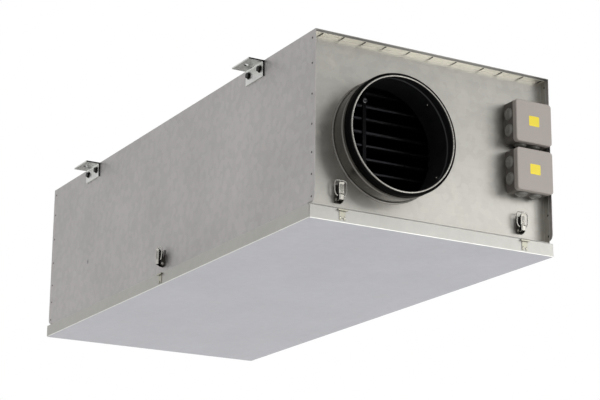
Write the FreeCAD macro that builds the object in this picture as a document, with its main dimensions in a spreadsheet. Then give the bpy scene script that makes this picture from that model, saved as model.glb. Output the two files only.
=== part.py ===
"""Ceiling air handling unit: a double-walled sheet-metal casing with a round duct spigot at
each end, a latched bottom cover, an electric heater behind the outlet, a panel filter behind
the inlet, two junction boxes beside the outlet and four hanger brackets.

Millimetres. X runs to the right seen from the outlet end, Y runs from the outlet to the inlet,
Z runs up from the underside of the cover. The origin is the middle of the part's footprint.
"""
import FreeCAD
import Part
import math
import os
import re
import Sketcher

DRIVING_SIZES = {
    # casing
    "casing_width": 570,
    "casing_height": 386,
    "casing_length": 1330,
    "skin_thickness": 1,
    "wall_thickness": 30,
    "end_recess": 26,
    "end_flange_depth": 16.5,
    "lip_cut": 5,
    "lip_corner_radius": 12,
    # cover
    "cover_flange_height": 28,
    "cover_overhang": 7,
    "cover_setback": 8.5,
    "cover_bend_radius": 2,
    "cover_joint": 1,
    "corner_slit": 1.2,
    # duct spigots
    "spigot_offset": 105,
    "spigot_height": 187,
    "spigot_radius": 124.4,
    "spigot_wall": 1,
    "spigot_reach": 65,
    "bead_setback": 30,
    "bead_radius": 2.2,
    "foot_ring_width": 3.5,
    "seal_setback": 3,
    "seal_width": 18,
    "seal_thickness": 0.5,
    "spigot_clearance": 0.3,
    # heater
    "heater_frame_depth": 40,
    "heater_frame_width": 30,
    "rod_radius": 4,
    "rod_top_gap": 23.5,
    "rod_bottom_gap": 45.5,
    "rod_bend_gap": 1.5,
    "hairpin_count": 4,
    "support_bar_width": 8,
    "left_bar_offset": 28,
    "right_bar_offset": 130,
    "support_bar_sheet": 2,
    # filter
    "filter_depth": 48,
    "filter_frame_width": 22,
    "pleat_pitch": 36,
    "media_thickness": 4,
    # junction boxes
    "box_side": 91,
    "box_base_depth": 30,
    "box_lid_depth": 12,
    "box_corner_radius": 7,
    "lid_chamfer": 1.5,
    "box_from_right": 52.5,
    "box_below_top": 110,
    "box_pitch": 104.5,
    "membrane_radius": 13.5,
    "membrane_height": 2.5,
    "membrane_spacing": 35,
    "membrane_setback": 15.5,
    # draw latches
    "latch_offset": 218,
    "base_bottom": 42.5,
    "base_top": 80,
    "base_sheet": 1.2,
    "ear_inside": 5.9,
    "ear_bottom": 43.5,
    "ear_top": 62,
    "ear_reach": 10,
    "pivot_height": 48.5,
    "pivot_standoff": 6,
    "pin_radius": 2,
    "pin_clearance": 0.1,
    "lever_half_width": 5.5,
    "lever_sheet": 1,
    "lever_inside": 3,
    "barrel_chamfer": 2,
    "lever_foot": 3,
    "barrel_bottom": 47,
    "barrel_top": 57,
    "handle_top": 82,
    "handle_standoff": 15,
    "bail_pivot_height": 56,
    "bail_standoff": 12,
    "bail_reach": 31,
    "bail_half_width": 12.75,
    "bail_bend": 4,
    "bail_shoulder": 7,
    "bail_clearance": 1.5,
    "wire_radius": 1.25,
    # keepers
    "keeper_plate_width": 14,
    "keeper_hook_width": 22,
    "keeper_sheet": 1.2,
    "keeper_bottom": 5,
    "keeper_top": 26.4,
    "keeper_notch_width": 5,
    "keeper_notch_height": 4,
    "hook_reach": 4.5,
    "hook_drop": 3.5,
    # hanger brackets
    "bracket_from_end": 248,
    "bracket_length": 75,
    "bracket_reach": 36,
    "bracket_drop": 35,
    "bracket_sheet": 3,
    "bracket_bend_radius": 3,
    "hanger_hole_radius": 5.5,
    "hanger_hole_standoff": 22,
    "bolt_offset": 24,
    "bolt_drop": 16,
    "bolt_head_radius": 6.5,
    "bolt_head_height": 5.5,
}

ALIAS = re.compile(r"[a-z]+(?:_[a-z]+)+")
Vector = FreeCAD.Vector

doc = FreeCAD.newDocument("air_handling_unit")
sizes = doc.addObject("Spreadsheet::Sheet", "Sizes")
for row, (alias, number) in enumerate(DRIVING_SIZES.items(), start=1):
    sizes.set(f"A{row}", alias)
    sizes.set(f"B{row}", str(number))
    sizes.setAlias(f"B{row}", alias)
doc.recompute()

sub_parts = []


def bound(text):
    """A formula of aliases as an expression on the sheet."""
    return ALIAS.sub(lambda word: f"Sizes.{word.group()}", text)


def worth(text):
    """The number that a formula of aliases comes to."""
    numbers = ALIAS.sub(lambda word: f"({float(sizes.get(word.group()))})", text)
    return FreeCAD.Units.Quantity(numbers).Value


def name_part(shape_object, label):
    """Gives a finished sub-part its node name."""
    shape_object.Label = label
    sub_parts.append(shape_object)
    return shape_object


def put(shape_object, x="0", y="0", z="0"):
    """Ties an object's place to the sheet."""
    for letter, text in zip("xyz", (x, y, z)):
        shape_object.setExpression(f"Placement.Base.{letter}", bound(text))
    return shape_object


def turn(shape_object, axis, angle):
    """Turns an object about an axis through its own origin, in degrees."""
    shape_object.Placement = FreeCAD.Placement(
        shape_object.Placement.Base, FreeCAD.Rotation(axis, angle)
    )
    return shape_object


def block(name, low, high):
    """A box between two corners that are written as formulas."""
    box = doc.addObject("Part::Box", name)
    for side, start, end in zip(("Length", "Width", "Height"), low, high):
        box.setExpression(side, bound(f"({end}) - ({start})"))
    return put(box, *low)


def cylinder(name, radius, length, centre, axis):
    """A cylinder that starts at a point and runs along X, Y or Z."""
    rod = doc.addObject("Part::Cylinder", name)
    rod.setExpression("Radius", bound(radius))
    rod.setExpression("Height", bound(length))
    if axis == "x":
        turn(rod, Vector(0, 1, 0), 90)
    if axis == "y":
        turn(rod, Vector(1, 0, 0), -90)
    return put(rod, *centre)


def cut(name, base, tools):
    """The base less the tools."""
    tool = tools[0]
    if len(tools) > 1:
        tool = fuse(name + "_tools", tools)
    result = doc.addObject("Part::Cut", name)
    result.Base = base
    result.Tool = tool
    return result


def fuse(name, pieces):
    """Several shapes as one."""
    result = doc.addObject("Part::MultiFuse", name)
    result.Shapes = pieces
    return result


def gather(name, pieces):
    """Several solids that don't touch, in one node."""
    result = doc.addObject("Part::Compound", name)
    result.Links = pieces
    return result


def origin_plane(body, role):
    """One of a body's own origin planes."""
    return next(plane for plane in body.Origin.OriginFeatures if plane.Role == role)


def new_sketch(body, name, role):
    """An empty sketch on an origin plane of a body."""
    sketch = body.newObject("Sketcher::SketchObject", name)
    sketch.AttachmentSupport = [(origin_plane(body, role), "")]
    sketch.MapMode = "FlatFace"
    return sketch


def pin_down(sketch, geometry, vertex, place):
    """Holds a sketch point at a place written as two formulas."""
    for kind, text in zip(("DistanceX", "DistanceY"), place):
        index = sketch.addConstraint(
            Sketcher.Constraint(kind, -1, 1, geometry, vertex, worth(text))
        )
        sketch.setExpression(f"Constraints[{index}]", bound(text))


def draw_outline(sketch, corners):
    """A closed outline of straight lines through corners written as formulas."""
    places = [Vector(worth(across), worth(up), 0) for across, up in corners]
    first = sketch.GeometryCount
    count = len(places)
    for index, place in enumerate(places):
        sketch.addGeometry(Part.LineSegment(place, places[(index + 1) % count]), False)
    for index, corner in enumerate(corners):
        following = first + (index + 1) % count
        sketch.addConstraint(
            Sketcher.Constraint("Coincident", first + index, 2, following, 1)
        )
        pin_down(sketch, first + index, 1, corner)


def draw_circle(sketch, centre, radius):
    """A circle whose centre and radius are written as formulas."""
    place = Vector(worth(centre[0]), worth(centre[1]), 0)
    index = sketch.addGeometry(Part.Circle(place, Vector(0, 0, 1), worth(radius)), False)
    pin_down(sketch, index, 3, centre)
    constraint = sketch.addConstraint(Sketcher.Constraint("Radius", index, worth(radius)))
    sketch.setExpression(f"Constraints[{constraint}]", bound(radius))


def rectangle(low, high):
    """The four corners of an upright rectangle."""
    return [low, (high[0], low[1]), high, (low[0], high[1])]


HALF_SIDE_TURN = math.radians(22.5)


def octagon(centre, radius):
    """The corners of an octagon about a centre, its points on a circle of the radius."""
    across, up = centre
    turns = [HALF_SIDE_TURN * (1 + 2 * step) for step in range(8)]
    return [
        (f"{across} + {radius} * {math.cos(angle):.6f}", f"{up} + {radius} * {math.sin(angle):.6f}")
        for angle in turns
    ]


def draw_path(sketch, points):
    """An open line of straight runs through points written as formulas."""
    places = [Vector(worth(across), worth(up), 0) for across, up in points]
    for index, (start, end) in enumerate(zip(places, places[1:])):
        sketch.addGeometry(Part.LineSegment(start, end), False)
        if index:
            sketch.addConstraint(Sketcher.Constraint("Coincident", index - 1, 2, index, 1))
        pin_down(sketch, index, 1, points[index])
    pin_down(sketch, len(places) - 2, 2, points[-1])


def sweep(body, name, profile, path):
    """Carries a profile along a path of straight runs, mitred where they meet."""
    pipe = body.newObject("PartDesign::AdditivePipe", name)
    pipe.Profile = profile
    pipe.Spine = (path, [f"Edge{index + 1}" for index in range(path.GeometryCount)])
    pipe.Transition = "Right corner"
    return pipe


def pad(body, name, sketch, length, midplane=False, backwards=False):
    """Pads a sketch by a length written as a formula."""
    feature = body.newObject("PartDesign::Pad", name)
    feature.Profile = sketch
    feature.setExpression("Length", bound(length))
    feature.Midplane = midplane
    feature.Reversed = backwards
    return feature


def pocket(body, name, sketch, length):
    """Cuts a sketch's shape out of the body, half of the length to each side."""
    feature = body.newObject("PartDesign::Pocket", name)
    feature.Profile = sketch
    feature.setExpression("Length", bound(length))
    feature.Midplane = True
    return feature


def pocket_through(body, name, sketch):
    """Cuts a sketch's shape out of the body, all the way both ways."""
    feature = body.newObject("PartDesign::Pocket", name)
    feature.Profile = sketch
    feature.Type = "ThroughAll"
    feature.Midplane = True
    return feature


def edges_where(feature, test):
    """The names of a feature's edges whose middle point and direction pass a test."""
    names = []
    for index, edge in enumerate(feature.Shape.Edges, start=1):
        middle = edge.CenterOfMass
        along = edge.Vertexes[-1].Point - edge.Vertexes[0].Point
        if test(middle, along):
            names.append(f"Edge{index}")
    return names


def round_edges(body, name, feature, radius, test):
    """Rounds the edges of a feature that pass a test."""
    doc.recompute()
    fillet = body.newObject("PartDesign::Fillet", name)
    fillet.Base = (feature, edges_where(feature, test))
    fillet.setExpression("Radius", bound(radius))
    return fillet


def bevel_edges(body, name, feature, size, test):
    """Chamfers the edges of a feature that pass a test."""
    doc.recompute()
    chamfer = body.newObject("PartDesign::Chamfer", name)
    chamfer.Base = (feature, edges_where(feature, test))
    chamfer.setExpression("Size", bound(size))
    return chamfer


def close_to(first, second):
    """Whether two lengths are the same to a hundredth."""
    return abs(first - second) < 0.01


# formulas that several pieces share

BODY_BOTTOM = "(cover_flange_height + cover_joint)"
BODY_TOP = "(casing_height - skin_thickness)"
HALF_WIDTH = "(casing_width / 2)"
HALF_LENGTH = "(casing_length / 2)"
INNER_X = "(casing_width / 2 - wall_thickness)"
PANEL_Y = "(casing_length / 2 - end_recess)"
LINING_Y = "(casing_length / 2 - end_recess - wall_thickness)"
CEILING_Z = "(casing_height - wall_thickness)"
COVER_X = "(casing_width / 2 + cover_overhang)"
COVER_Y = "(casing_length / 2 - cover_setback)"


def side_panel(label, start_x):
    """A side of the casing: flat sheet that runs past the end panels as a lip, with the lip's
    lower corners cut back and rounded."""
    body = doc.addObject("PartDesign::Body", label)
    sketch = new_sketch(body, label + "_outline", "YZ_Plane")
    lip_bottom = f"{BODY_BOTTOM} + lip_cut"
    draw_outline(sketch, [
        (f"-{HALF_LENGTH}", lip_bottom),
        (f"-{PANEL_Y}", lip_bottom),
        (f"-{PANEL_Y}", BODY_BOTTOM),
        (PANEL_Y, BODY_BOTTOM),
        (PANEL_Y, lip_bottom),
        (HALF_LENGTH, lip_bottom),
        (HALF_LENGTH, BODY_TOP),
        (f"-{HALF_LENGTH}", BODY_TOP),
    ])
    sheet = pad(body, label + "_sheet", sketch, "skin_thickness")
    corner_y = worth(HALF_LENGTH)
    corner_z = worth(lip_bottom)
    round_edges(
        body, label + "_lip_corners", sheet, "lip_corner_radius",
        lambda middle, along: close_to(abs(middle.y), corner_y) and close_to(middle.z, corner_z),
    )
    put(body, x=start_x)
    name_part(body, label)


def end_panel(label, facing):
    """An end of the casing: a plate set back behind the lips, with a flange turned outward on
    all four sides, and a round hole for the spigot. Facing is -1 or 1."""
    body = doc.addObject("PartDesign::Body", label)
    inner_x = f"({HALF_WIDTH} - skin_thickness)"
    plate = new_sketch(body, label + "_plate_outline", "XZ_Plane")
    draw_outline(plate, rectangle((f"-{inner_x}", BODY_BOTTOM), (inner_x, BODY_TOP)))
    draw_circle(plate, ("-spigot_offset", "spigot_height"), "spigot_radius + spigot_clearance")
    pad(body, label + "_plate", plate, "skin_thickness", backwards=facing < 0)
    flanges = new_sketch(body, label + "_flange_outline", "XZ_Plane")
    inside_x = f"({inner_x} - skin_thickness)"
    draw_outline(flanges, rectangle((f"-{inner_x}", BODY_BOTTOM), (inner_x, BODY_TOP)))
    draw_outline(flanges, rectangle(
        (f"-{inside_x}", f"{BODY_BOTTOM} + skin_thickness"),
        (inside_x, f"{BODY_TOP} - skin_thickness"),
    ))
    pad(body, label + "_flanges", flanges, "end_flange_depth", backwards=facing > 0)
    put(body, y=f"{facing} * {PANEL_Y}")
    name_part(body, label)


def end_lining(label, facing):
    """The inner skin and wool of an end wall, with the spigot's hole through it."""
    start, end = sorted((f"{facing} * {LINING_Y}", f"{facing} * ({PANEL_Y} - skin_thickness)"),
                        key=worth)
    slab = block(label + "_slab", (f"-{INNER_X}", start, BODY_BOTTOM),
                 (INNER_X, end, CEILING_Z))
    hole = cylinder(label + "_hole", "spigot_radius + spigot_clearance", "2 * wall_thickness",
                    ("-spigot_offset", f"{facing} * {LINING_Y} - wall_thickness",
                     "spigot_height"), "y")
    name_part(cut(label, slab, [hole]), label)


def cover_tray():
    """The bottom cover: a folded tray with rounded bends and an open slit at each corner."""
    body = doc.addObject("PartDesign::Body", "service_cover")
    sketch = new_sketch(body, "cover_outline", "XY_Plane")
    draw_outline(sketch, rectangle((f"-{COVER_X}", f"-{COVER_Y}"), (COVER_X, COVER_Y)))
    slab = pad(body, "cover_block", sketch, "cover_flange_height")
    bends = round_edges(
        body, "cover_bends", slab, "cover_bend_radius",
        lambda middle, along: close_to(middle.z, 0),
    )
    doc.recompute()
    hollow = body.newObject("PartDesign::Thickness", "cover_sheet")
    top = worth("cover_flange_height")
    faces = [f"Face{index}" for index, face in enumerate(bends.Shape.Faces, start=1)
             if close_to(face.CenterOfMass.z, top)]
    hollow.Base = (bends, faces)
    hollow.setExpression("Value", bound("skin_thickness"))
    hollow.Reversed = True
    slits = new_sketch(body, "cover_corner_slits", "XY_Plane")
    for across in ("", "-"):
        for deep in ("", "-"):
            draw_outline(slits, rectangle(
                (f"{across}({COVER_X} - corner_slit)", f"{deep}({COVER_Y} - corner_slit)"),
                (f"{across}({COVER_X} + corner_slit)", f"{deep}({COVER_Y} + corner_slit)"),
            ))
    pocket_through(body, "cover_corner_slit_cut", slits)
    name_part(body, "service_cover")


def turned_ring(name, facing, corners):
    """A ring turned about a spigot's axis: its outline is given by radius and by the distance
    out of the end panel. Facing is -1 or 1."""
    body = doc.addObject("PartDesign::Body", name)
    profile = new_sketch(body, name + "_profile", "XY_Plane")
    draw_outline(profile, corners)
    ring = body.newObject("PartDesign::Revolution", name + "_turned")
    ring.Profile = profile
    ring.ReferenceAxis = (profile, ["V_Axis"])
    ring.Angle = 360
    turn(body, Vector(0, 0, 1), 0 if facing > 0 else 180)
    return put(body, "-spigot_offset", f"{facing} * {PANEL_Y}", "spigot_height")


def duct_spigot(name, facing):
    """A round duct nipple: a thin tube that starts flush with the inner wall, with a foot ring
    on the end panel and a rolled stop bead."""
    bore = "(spigot_radius - spigot_wall)"
    foot = "(spigot_radius + foot_ring_width)"
    crown = "(spigot_radius + bead_radius)"
    bead_y = "(spigot_reach - bead_setback)"
    return turned_ring(name, facing, [
        (bore, "-wall_thickness"),
        ("spigot_radius", "-wall_thickness"),
        ("spigot_radius", "0"),
        (foot, "0"),
        (foot, "skin_thickness"),
        ("spigot_radius", "2 * skin_thickness"),
        ("spigot_radius", f"{bead_y} - bead_radius"),
        (crown, f"{bead_y} - bead_radius / 3"),
        (crown, f"{bead_y} + bead_radius / 3"),
        ("spigot_radius", f"{bead_y} + bead_radius"),
        ("spigot_radius", "spigot_reach"),
        (bore, "spigot_reach"),
    ])


def spigot_seal(name, facing):
    """The rubber band round a spigot's mouth."""
    outer_end = "(spigot_reach - seal_setback)"
    surface = "(spigot_radius + seal_thickness)"
    return turned_ring(name, facing, rectangle(
        ("spigot_radius", f"{outer_end} - seal_width"), (surface, outer_end)
    ))


def heater():
    """The electric heater behind the outlet: a frame across the air chamber, two flat support
    bars and hairpin rods that run across."""
    back_y = f"-({LINING_Y} - heater_frame_depth)"
    outer = block("heater_frame_block", (f"-{INNER_X}", f"-{LINING_Y}", BODY_BOTTOM),
                  (INNER_X, back_y, CEILING_Z))
    window = block(
        "heater_window",
        (f"-({INNER_X} - heater_frame_width)", f"-{LINING_Y} - 1",
         f"{BODY_BOTTOM} + heater_frame_width"),
        (f"{INNER_X} - heater_frame_width", f"{back_y} + 1",
         f"{CEILING_Z} - heater_frame_width"),
    )
    name_part(cut("heater_frame", outer, [window]), "heater_frame")
    rod_y = f"-({LINING_Y} - heater_frame_depth / 2)"
    bars = []
    for index, offset in enumerate(("-left_bar_offset", "right_bar_offset")):
        bars.append(block(
            f"support_bar_{index}",
            (f"-spigot_offset + {offset}", f"{rod_y} - rod_radius - support_bar_sheet",
             f"{BODY_BOTTOM} + heater_frame_width"),
            (f"-spigot_offset + {offset} + support_bar_width", f"{rod_y} - rod_radius",
             f"{CEILING_Z} - heater_frame_width"),
        ))
    name_part(gather("heater_support_bars", bars), "heater_support_bars")
    top_rod = f"({CEILING_Z} - heater_frame_width - rod_top_gap)"
    bottom_rod = f"({BODY_BOTTOM} + heater_frame_width + rod_bottom_gap)"
    pitch = f"(({top_rod} - {bottom_rod}) / (2 * hairpin_count - 1))"
    count = int(worth("hairpin_count"))
    hairpins = [hairpin(f"hairpin_{index}", rod_y, f"({top_rod} - {2 * index} * {pitch})", pitch)
                for index in range(count)]
    name_part(gather("heater_rods", hairpins), "heater_rods")


def hairpin(name, rod_y, height, pitch):
    """A heater rod that runs across from the frame's right side, turns down in a bend of mitred
    runs and comes back a pitch lower."""
    body = doc.addObject("PartDesign::Body", name)
    frame_x = f"({INNER_X} - heater_frame_width)"
    bend_x = f"(-{frame_x} + rod_bend_gap + rod_radius)"
    corner = f"({pitch} / 4)"
    lower = f"({height} - {pitch})"
    path = new_sketch(body, name + "_path", "XZ_Plane")
    path.setExpression("AttachmentOffset.Base.z", bound(f"-({rod_y})"))
    draw_path(path, [
        (frame_x, height),
        (f"{bend_x} + {corner}", height),
        (bend_x, f"{height} - {corner}"),
        (bend_x, f"{lower} + {corner}"),
        (f"{bend_x} + {corner}", lower),
        (frame_x, lower),
    ])
    section = new_sketch(body, name + "_section", "YZ_Plane")
    section.setExpression("AttachmentOffset.Base.z", bound(frame_x))
    draw_outline(section, octagon((rod_y, height), "rod_radius"))
    sweep(body, name + "_rod", section, path)
    return body


def inlet_filter():
    """The panel filter behind the inlet: a card frame round zigzag pleated media."""
    front_y = f"({LINING_Y} - filter_depth)"
    outer = block("filter_frame_block", (f"-{INNER_X}", front_y, BODY_BOTTOM),
                  (INNER_X, LINING_Y, CEILING_Z))
    window = block(
        "filter_window",
        (f"-({INNER_X} - filter_frame_width)", f"{front_y} - 1",
         f"{BODY_BOTTOM} + filter_frame_width"),
        (f"{INNER_X} - filter_frame_width", f"{LINING_Y} + 1",
         f"{CEILING_Z} - filter_frame_width"),
    )
    name_part(cut("filter_frame", outer, [window]), "filter_frame")
    body = doc.addObject("PartDesign::Body", "filter_media")
    sketch = new_sketch(body, "pleats", "XY_Plane")
    half_width = worth(f"{INNER_X} - filter_frame_width")
    count = int(half_width * 2 / worth("pleat_pitch"))
    start = f"-({INNER_X} - filter_frame_width)"
    pitch = f"((casing_width - 2 * wall_thickness - 2 * filter_frame_width) / {2 * count})"
    near = "(filter_depth / 4)"
    far = "(filter_depth * 3 / 4)"
    ridge = [(f"{start} + {index} * {pitch}", near if index % 2 else far)
             for index in range(2 * count + 1)]
    back = [(across, f"{deep} - media_thickness") for across, deep in reversed(ridge)]
    draw_outline(sketch, ridge + back)
    pad(body, "filter_media_pleats", sketch,
        f"{CEILING_Z} - {BODY_BOTTOM} - 2 * filter_frame_width")
    put(body, y=front_y, z=f"{BODY_BOTTOM} + filter_frame_width")
    name_part(body, "filter_media")


BOX_X = "(casing_width / 2 - box_from_right)"


def junction_box(name, height):
    """One junction box on the outlet end: a base and a lid, each with rounded corners."""
    half = "(box_side / 2)"
    pieces = {}
    for piece, depth in (("base", "box_base_depth"), ("lid", "box_lid_depth")):
        body = doc.addObject("PartDesign::Body", f"{name}_{piece}")
        sketch = new_sketch(body, f"{name}_{piece}_outline", "XZ_Plane")
        draw_outline(sketch, rectangle((f"-{half}", f"-{half}"), (half, half)))
        solid = pad(body, f"{name}_{piece}_block", sketch, depth)
        pieces[piece] = body, round_edges(
            body, f"{name}_{piece}_corners", solid, "box_corner_radius",
            lambda middle, along: abs(along.y) > 1,
        )
    base, _ = pieces["base"]
    put(base, BOX_X, f"-{PANEL_Y}", height)
    name_part(base, name + "_base")
    lid, corners = pieces["lid"]
    front = -worth("box_lid_depth")
    bevel_edges(
        lid, name + "_lid_edge", corners, "lid_chamfer",
        lambda middle, along: close_to(middle.y, front),
    )
    put(lid, BOX_X, f"-({PANEL_Y} + box_base_depth)", height)
    name_part(lid, name + "_lid")


def membranes(name, height):
    """The rubber cable membranes of a box: two on its left side and two underneath."""
    half = "(box_side / 2)"
    y = f"-({PANEL_Y} + membrane_setback)"
    discs = []
    for side in ("-", ""):
        aside = f"{side}membrane_spacing / 2"
        discs.append(cylinder(
            f"{name}_left_membrane_{len(discs)}", "membrane_radius", "membrane_height",
            (f"{BOX_X} - {half} - membrane_height", y, f"{height} + {aside}"), "x",
        ))
        discs.append(cylinder(
            f"{name}_floor_membrane_{len(discs)}", "membrane_radius", "membrane_height",
            (f"{BOX_X} + {aside}", y, f"{height} - {half} - membrane_height"), "z",
        ))
    return discs


LATCHES = {
    "front_left": ("-latch_offset", f"-{PANEL_Y}", 0, "end_recess - cover_setback"),
    "front_right": ("latch_offset", f"-{PANEL_Y}", 0, "end_recess - cover_setback"),
    "right": (HALF_WIDTH, "0", 90, "cover_overhang"),
    "back_right": ("latch_offset", PANEL_Y, 180, "end_recess - cover_setback"),
    "back_left": ("-latch_offset", PANEL_Y, 180, "end_recess - cover_setback"),
    "left": (f"-{HALF_WIDTH}", "0", -90, "cover_overhang"),
}


def stand(shape_object, latch, further="0"):
    """Sets a latch piece on its wall, or further out, facing away from the casing."""
    x, y, angle, _ = LATCHES[latch]
    turn(shape_object, Vector(0, 0, 1), angle)
    out_x = round(math.sin(math.radians(angle)))
    out_y = round(-math.cos(math.radians(angle)))
    return put(shape_object, f"{x} + {out_x} * ({further})", f"{y} + {out_y} * ({further})")


def latch_base(latch):
    """A latch's base: a channel with a back plate, two ears and the lever's pin. The pin and
    its holes are eight-sided."""
    body = doc.addObject("PartDesign::Body", f"latch_base_{latch}")
    side = new_sketch(body, f"base_side_{latch}", "YZ_Plane")
    draw_outline(side, [
        ("0", "base_bottom"),
        ("0", "base_top"),
        ("-base_sheet", "base_top"),
        ("-base_sheet", "ear_top + ear_reach"),
        ("-ear_reach / 2", "ear_top"),
        ("-ear_reach", "pivot_height + ear_reach / 2"),
        ("-ear_reach", "pivot_height - ear_reach / 3"),
        ("-ear_reach / 2", "ear_bottom"),
        ("-base_sheet", "ear_bottom"),
        ("-base_sheet", "base_bottom"),
    ])
    pad(body, f"base_block_{latch}", side, "2 * (ear_inside + base_sheet)", midplane=True)
    channel = new_sketch(body, f"base_channel_{latch}", "XY_Plane")
    draw_outline(channel, rectangle(("-ear_inside", "-2 * ear_reach"),
                                    ("ear_inside", "-base_sheet")))
    pocket_through(body, f"base_channel_cut_{latch}", channel)
    pin_sketch = new_sketch(body, f"pin_outline_{latch}", "YZ_Plane")
    draw_outline(pin_sketch, octagon(("-pivot_standoff", "pivot_height"), "pin_radius"))
    pad(body, f"pin_{latch}", pin_sketch, "2 * (ear_inside + base_sheet)", midplane=True)
    return stand(body, latch)


def latch_lever(latch):
    """A latch's lever: a channel folded round the pin, with a deeper barrel at its foot that is
    open underneath, and a handle that flares out at the tip."""
    body = doc.addObject("PartDesign::Body", f"latch_lever_{latch}")
    side = new_sketch(body, f"lever_side_{latch}", "YZ_Plane")
    front = "(handle_standoff + 2 * wire_radius)"
    draw_outline(side, [
        ("-lever_inside", "pivot_height - lever_foot"),
        ("-(pivot_standoff + lever_foot)", "pivot_height - lever_foot"),
        (f"-{front}", "barrel_bottom"),
        (f"-{front}", "barrel_top"),
        ("-handle_standoff", "barrel_top + lever_foot"),
        ("-handle_standoff", "handle_top - lever_foot"),
        (f"-{front}", "handle_top"),
        (f"-{front} + lever_sheet", "handle_top + lever_sheet / 2"),
        ("-handle_standoff / 2", "handle_top - 2 * lever_foot"),
        ("-lever_inside", "barrel_top + lever_foot"),
    ])
    solid = pad(body, f"lever_block_{latch}", side, "2 * lever_half_width", midplane=True)
    front_y = -worth(front)
    barrel_middle = worth("(barrel_bottom + barrel_top) / 2")
    bevel_edges(
        body, f"barrel_corners_{latch}", solid, "barrel_chamfer",
        lambda middle, along: close_to(middle.y, front_y) and close_to(middle.z, barrel_middle),
    )
    inside = new_sketch(body, f"lever_inside_{latch}", "YZ_Plane")
    draw_outline(inside, [
        ("0", "base_bottom"),
        (f"-({front} - lever_sheet)", "base_bottom"),
        (f"-({front} - lever_sheet)", "barrel_top - lever_sheet / 2"),
        ("-(handle_standoff - lever_sheet)", "barrel_top + lever_foot - lever_sheet / 2"),
        ("-(handle_standoff - lever_sheet)", "handle_top + lever_foot"),
        ("0", "handle_top + lever_foot"),
    ])
    pocket(body, f"lever_inside_cut_{latch}", inside, "2 * (lever_half_width - lever_sheet)")
    holes = new_sketch(body, f"lever_holes_{latch}", "YZ_Plane")
    hole_flats = "(pin_radius + pin_clearance)"
    hole_corners = f"{hole_flats} / {math.cos(HALF_SIDE_TURN):.6f}"
    draw_outline(holes, octagon(("-pivot_standoff", "pivot_height"), hole_corners))
    reach = "(wire_radius + pin_clearance)"
    draw_outline(holes, rectangle(
        (f"-bail_standoff - {reach}", f"bail_pivot_height - {reach}"),
        (f"-bail_standoff + {reach}", f"bail_pivot_height + {reach}"),
    ))
    pocket_through(body, f"lever_hole_cut_{latch}", holes)
    stand(body, latch)
    name_part(body, f"latch_lever_{latch}")


def latch_bail(latch):
    """A latch's wire bail: one bent wire whose two ends turn in through the lever's cheeks, its
    shoulders clear of the base's ears."""
    body = doc.addObject("PartDesign::Body", f"latch_bail_{latch}")
    inner = "(lever_half_width - lever_sheet)"
    neck = "(ear_inside + base_sheet + wire_radius + bail_clearance)"
    shoulder = "(bail_pivot_height + bail_shoulder)"
    top = "(bail_pivot_height + bail_reach)"
    right_half = [
        (inner, "bail_pivot_height"),
        (neck, "bail_pivot_height"),
        ("bail_half_width", shoulder),
        ("bail_half_width", f"{top} - bail_bend"),
        ("bail_half_width - bail_bend / 3", f"{top} - bail_bend / 3"),
        ("bail_half_width - bail_bend", top),
    ]
    left_half = [(f"-({across})", up) for across, up in right_half]
    path = new_sketch(body, f"bail_path_{latch}", "XZ_Plane")
    path.setExpression("AttachmentOffset.Base.z", bound("bail_standoff"))
    draw_path(path, left_half + right_half[::-1])
    section = new_sketch(body, f"bail_section_{latch}", "YZ_Plane")
    section.setExpression("AttachmentOffset.Base.z", bound(f"-{inner}"))
    draw_outline(section, octagon(("-bail_standoff", "bail_pivot_height"), "wire_radius"))
    sweep(body, f"bail_wire_{latch}", section, path)
    stand(body, latch)
    name_part(body, f"latch_bail_{latch}")


def latch_keeper(latch):
    """A latch's keeper on the cover's flange: a plate on two feet whose wider top is bent out
    and down into a hook."""
    body = doc.addObject("PartDesign::Body", f"latch_keeper_{latch}")
    plate = new_sketch(body, f"keeper_plate_outline_{latch}", "YZ_Plane")
    draw_outline(plate, rectangle(("-keeper_sheet", "keeper_bottom"), ("0", "keeper_top")))
    pad(body, f"keeper_plate_{latch}", plate, "keeper_plate_width", midplane=True)
    hook = new_sketch(body, f"keeper_hook_outline_{latch}", "YZ_Plane")
    draw_outline(hook, [
        ("0", "keeper_top - keeper_sheet"),
        ("-hook_reach + keeper_sheet", "keeper_top - keeper_sheet"),
        ("-hook_reach + keeper_sheet", "keeper_top - hook_drop"),
        ("-hook_reach", "keeper_top - hook_drop"),
        ("-hook_reach", "keeper_top"),
        ("0", "keeper_top"),
    ])
    pad(body, f"keeper_hook_{latch}", hook, "keeper_hook_width", midplane=True)
    notch = new_sketch(body, f"keeper_notch_{latch}", "XZ_Plane")
    draw_outline(notch, rectangle(
        ("-keeper_notch_width / 2", "0"),
        ("keeper_notch_width / 2", "keeper_bottom + keeper_notch_height"),
    ))
    pocket_through(body, f"keeper_notch_cut_{latch}", notch)
    return stand(body, latch, LATCHES[latch][3])


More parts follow.
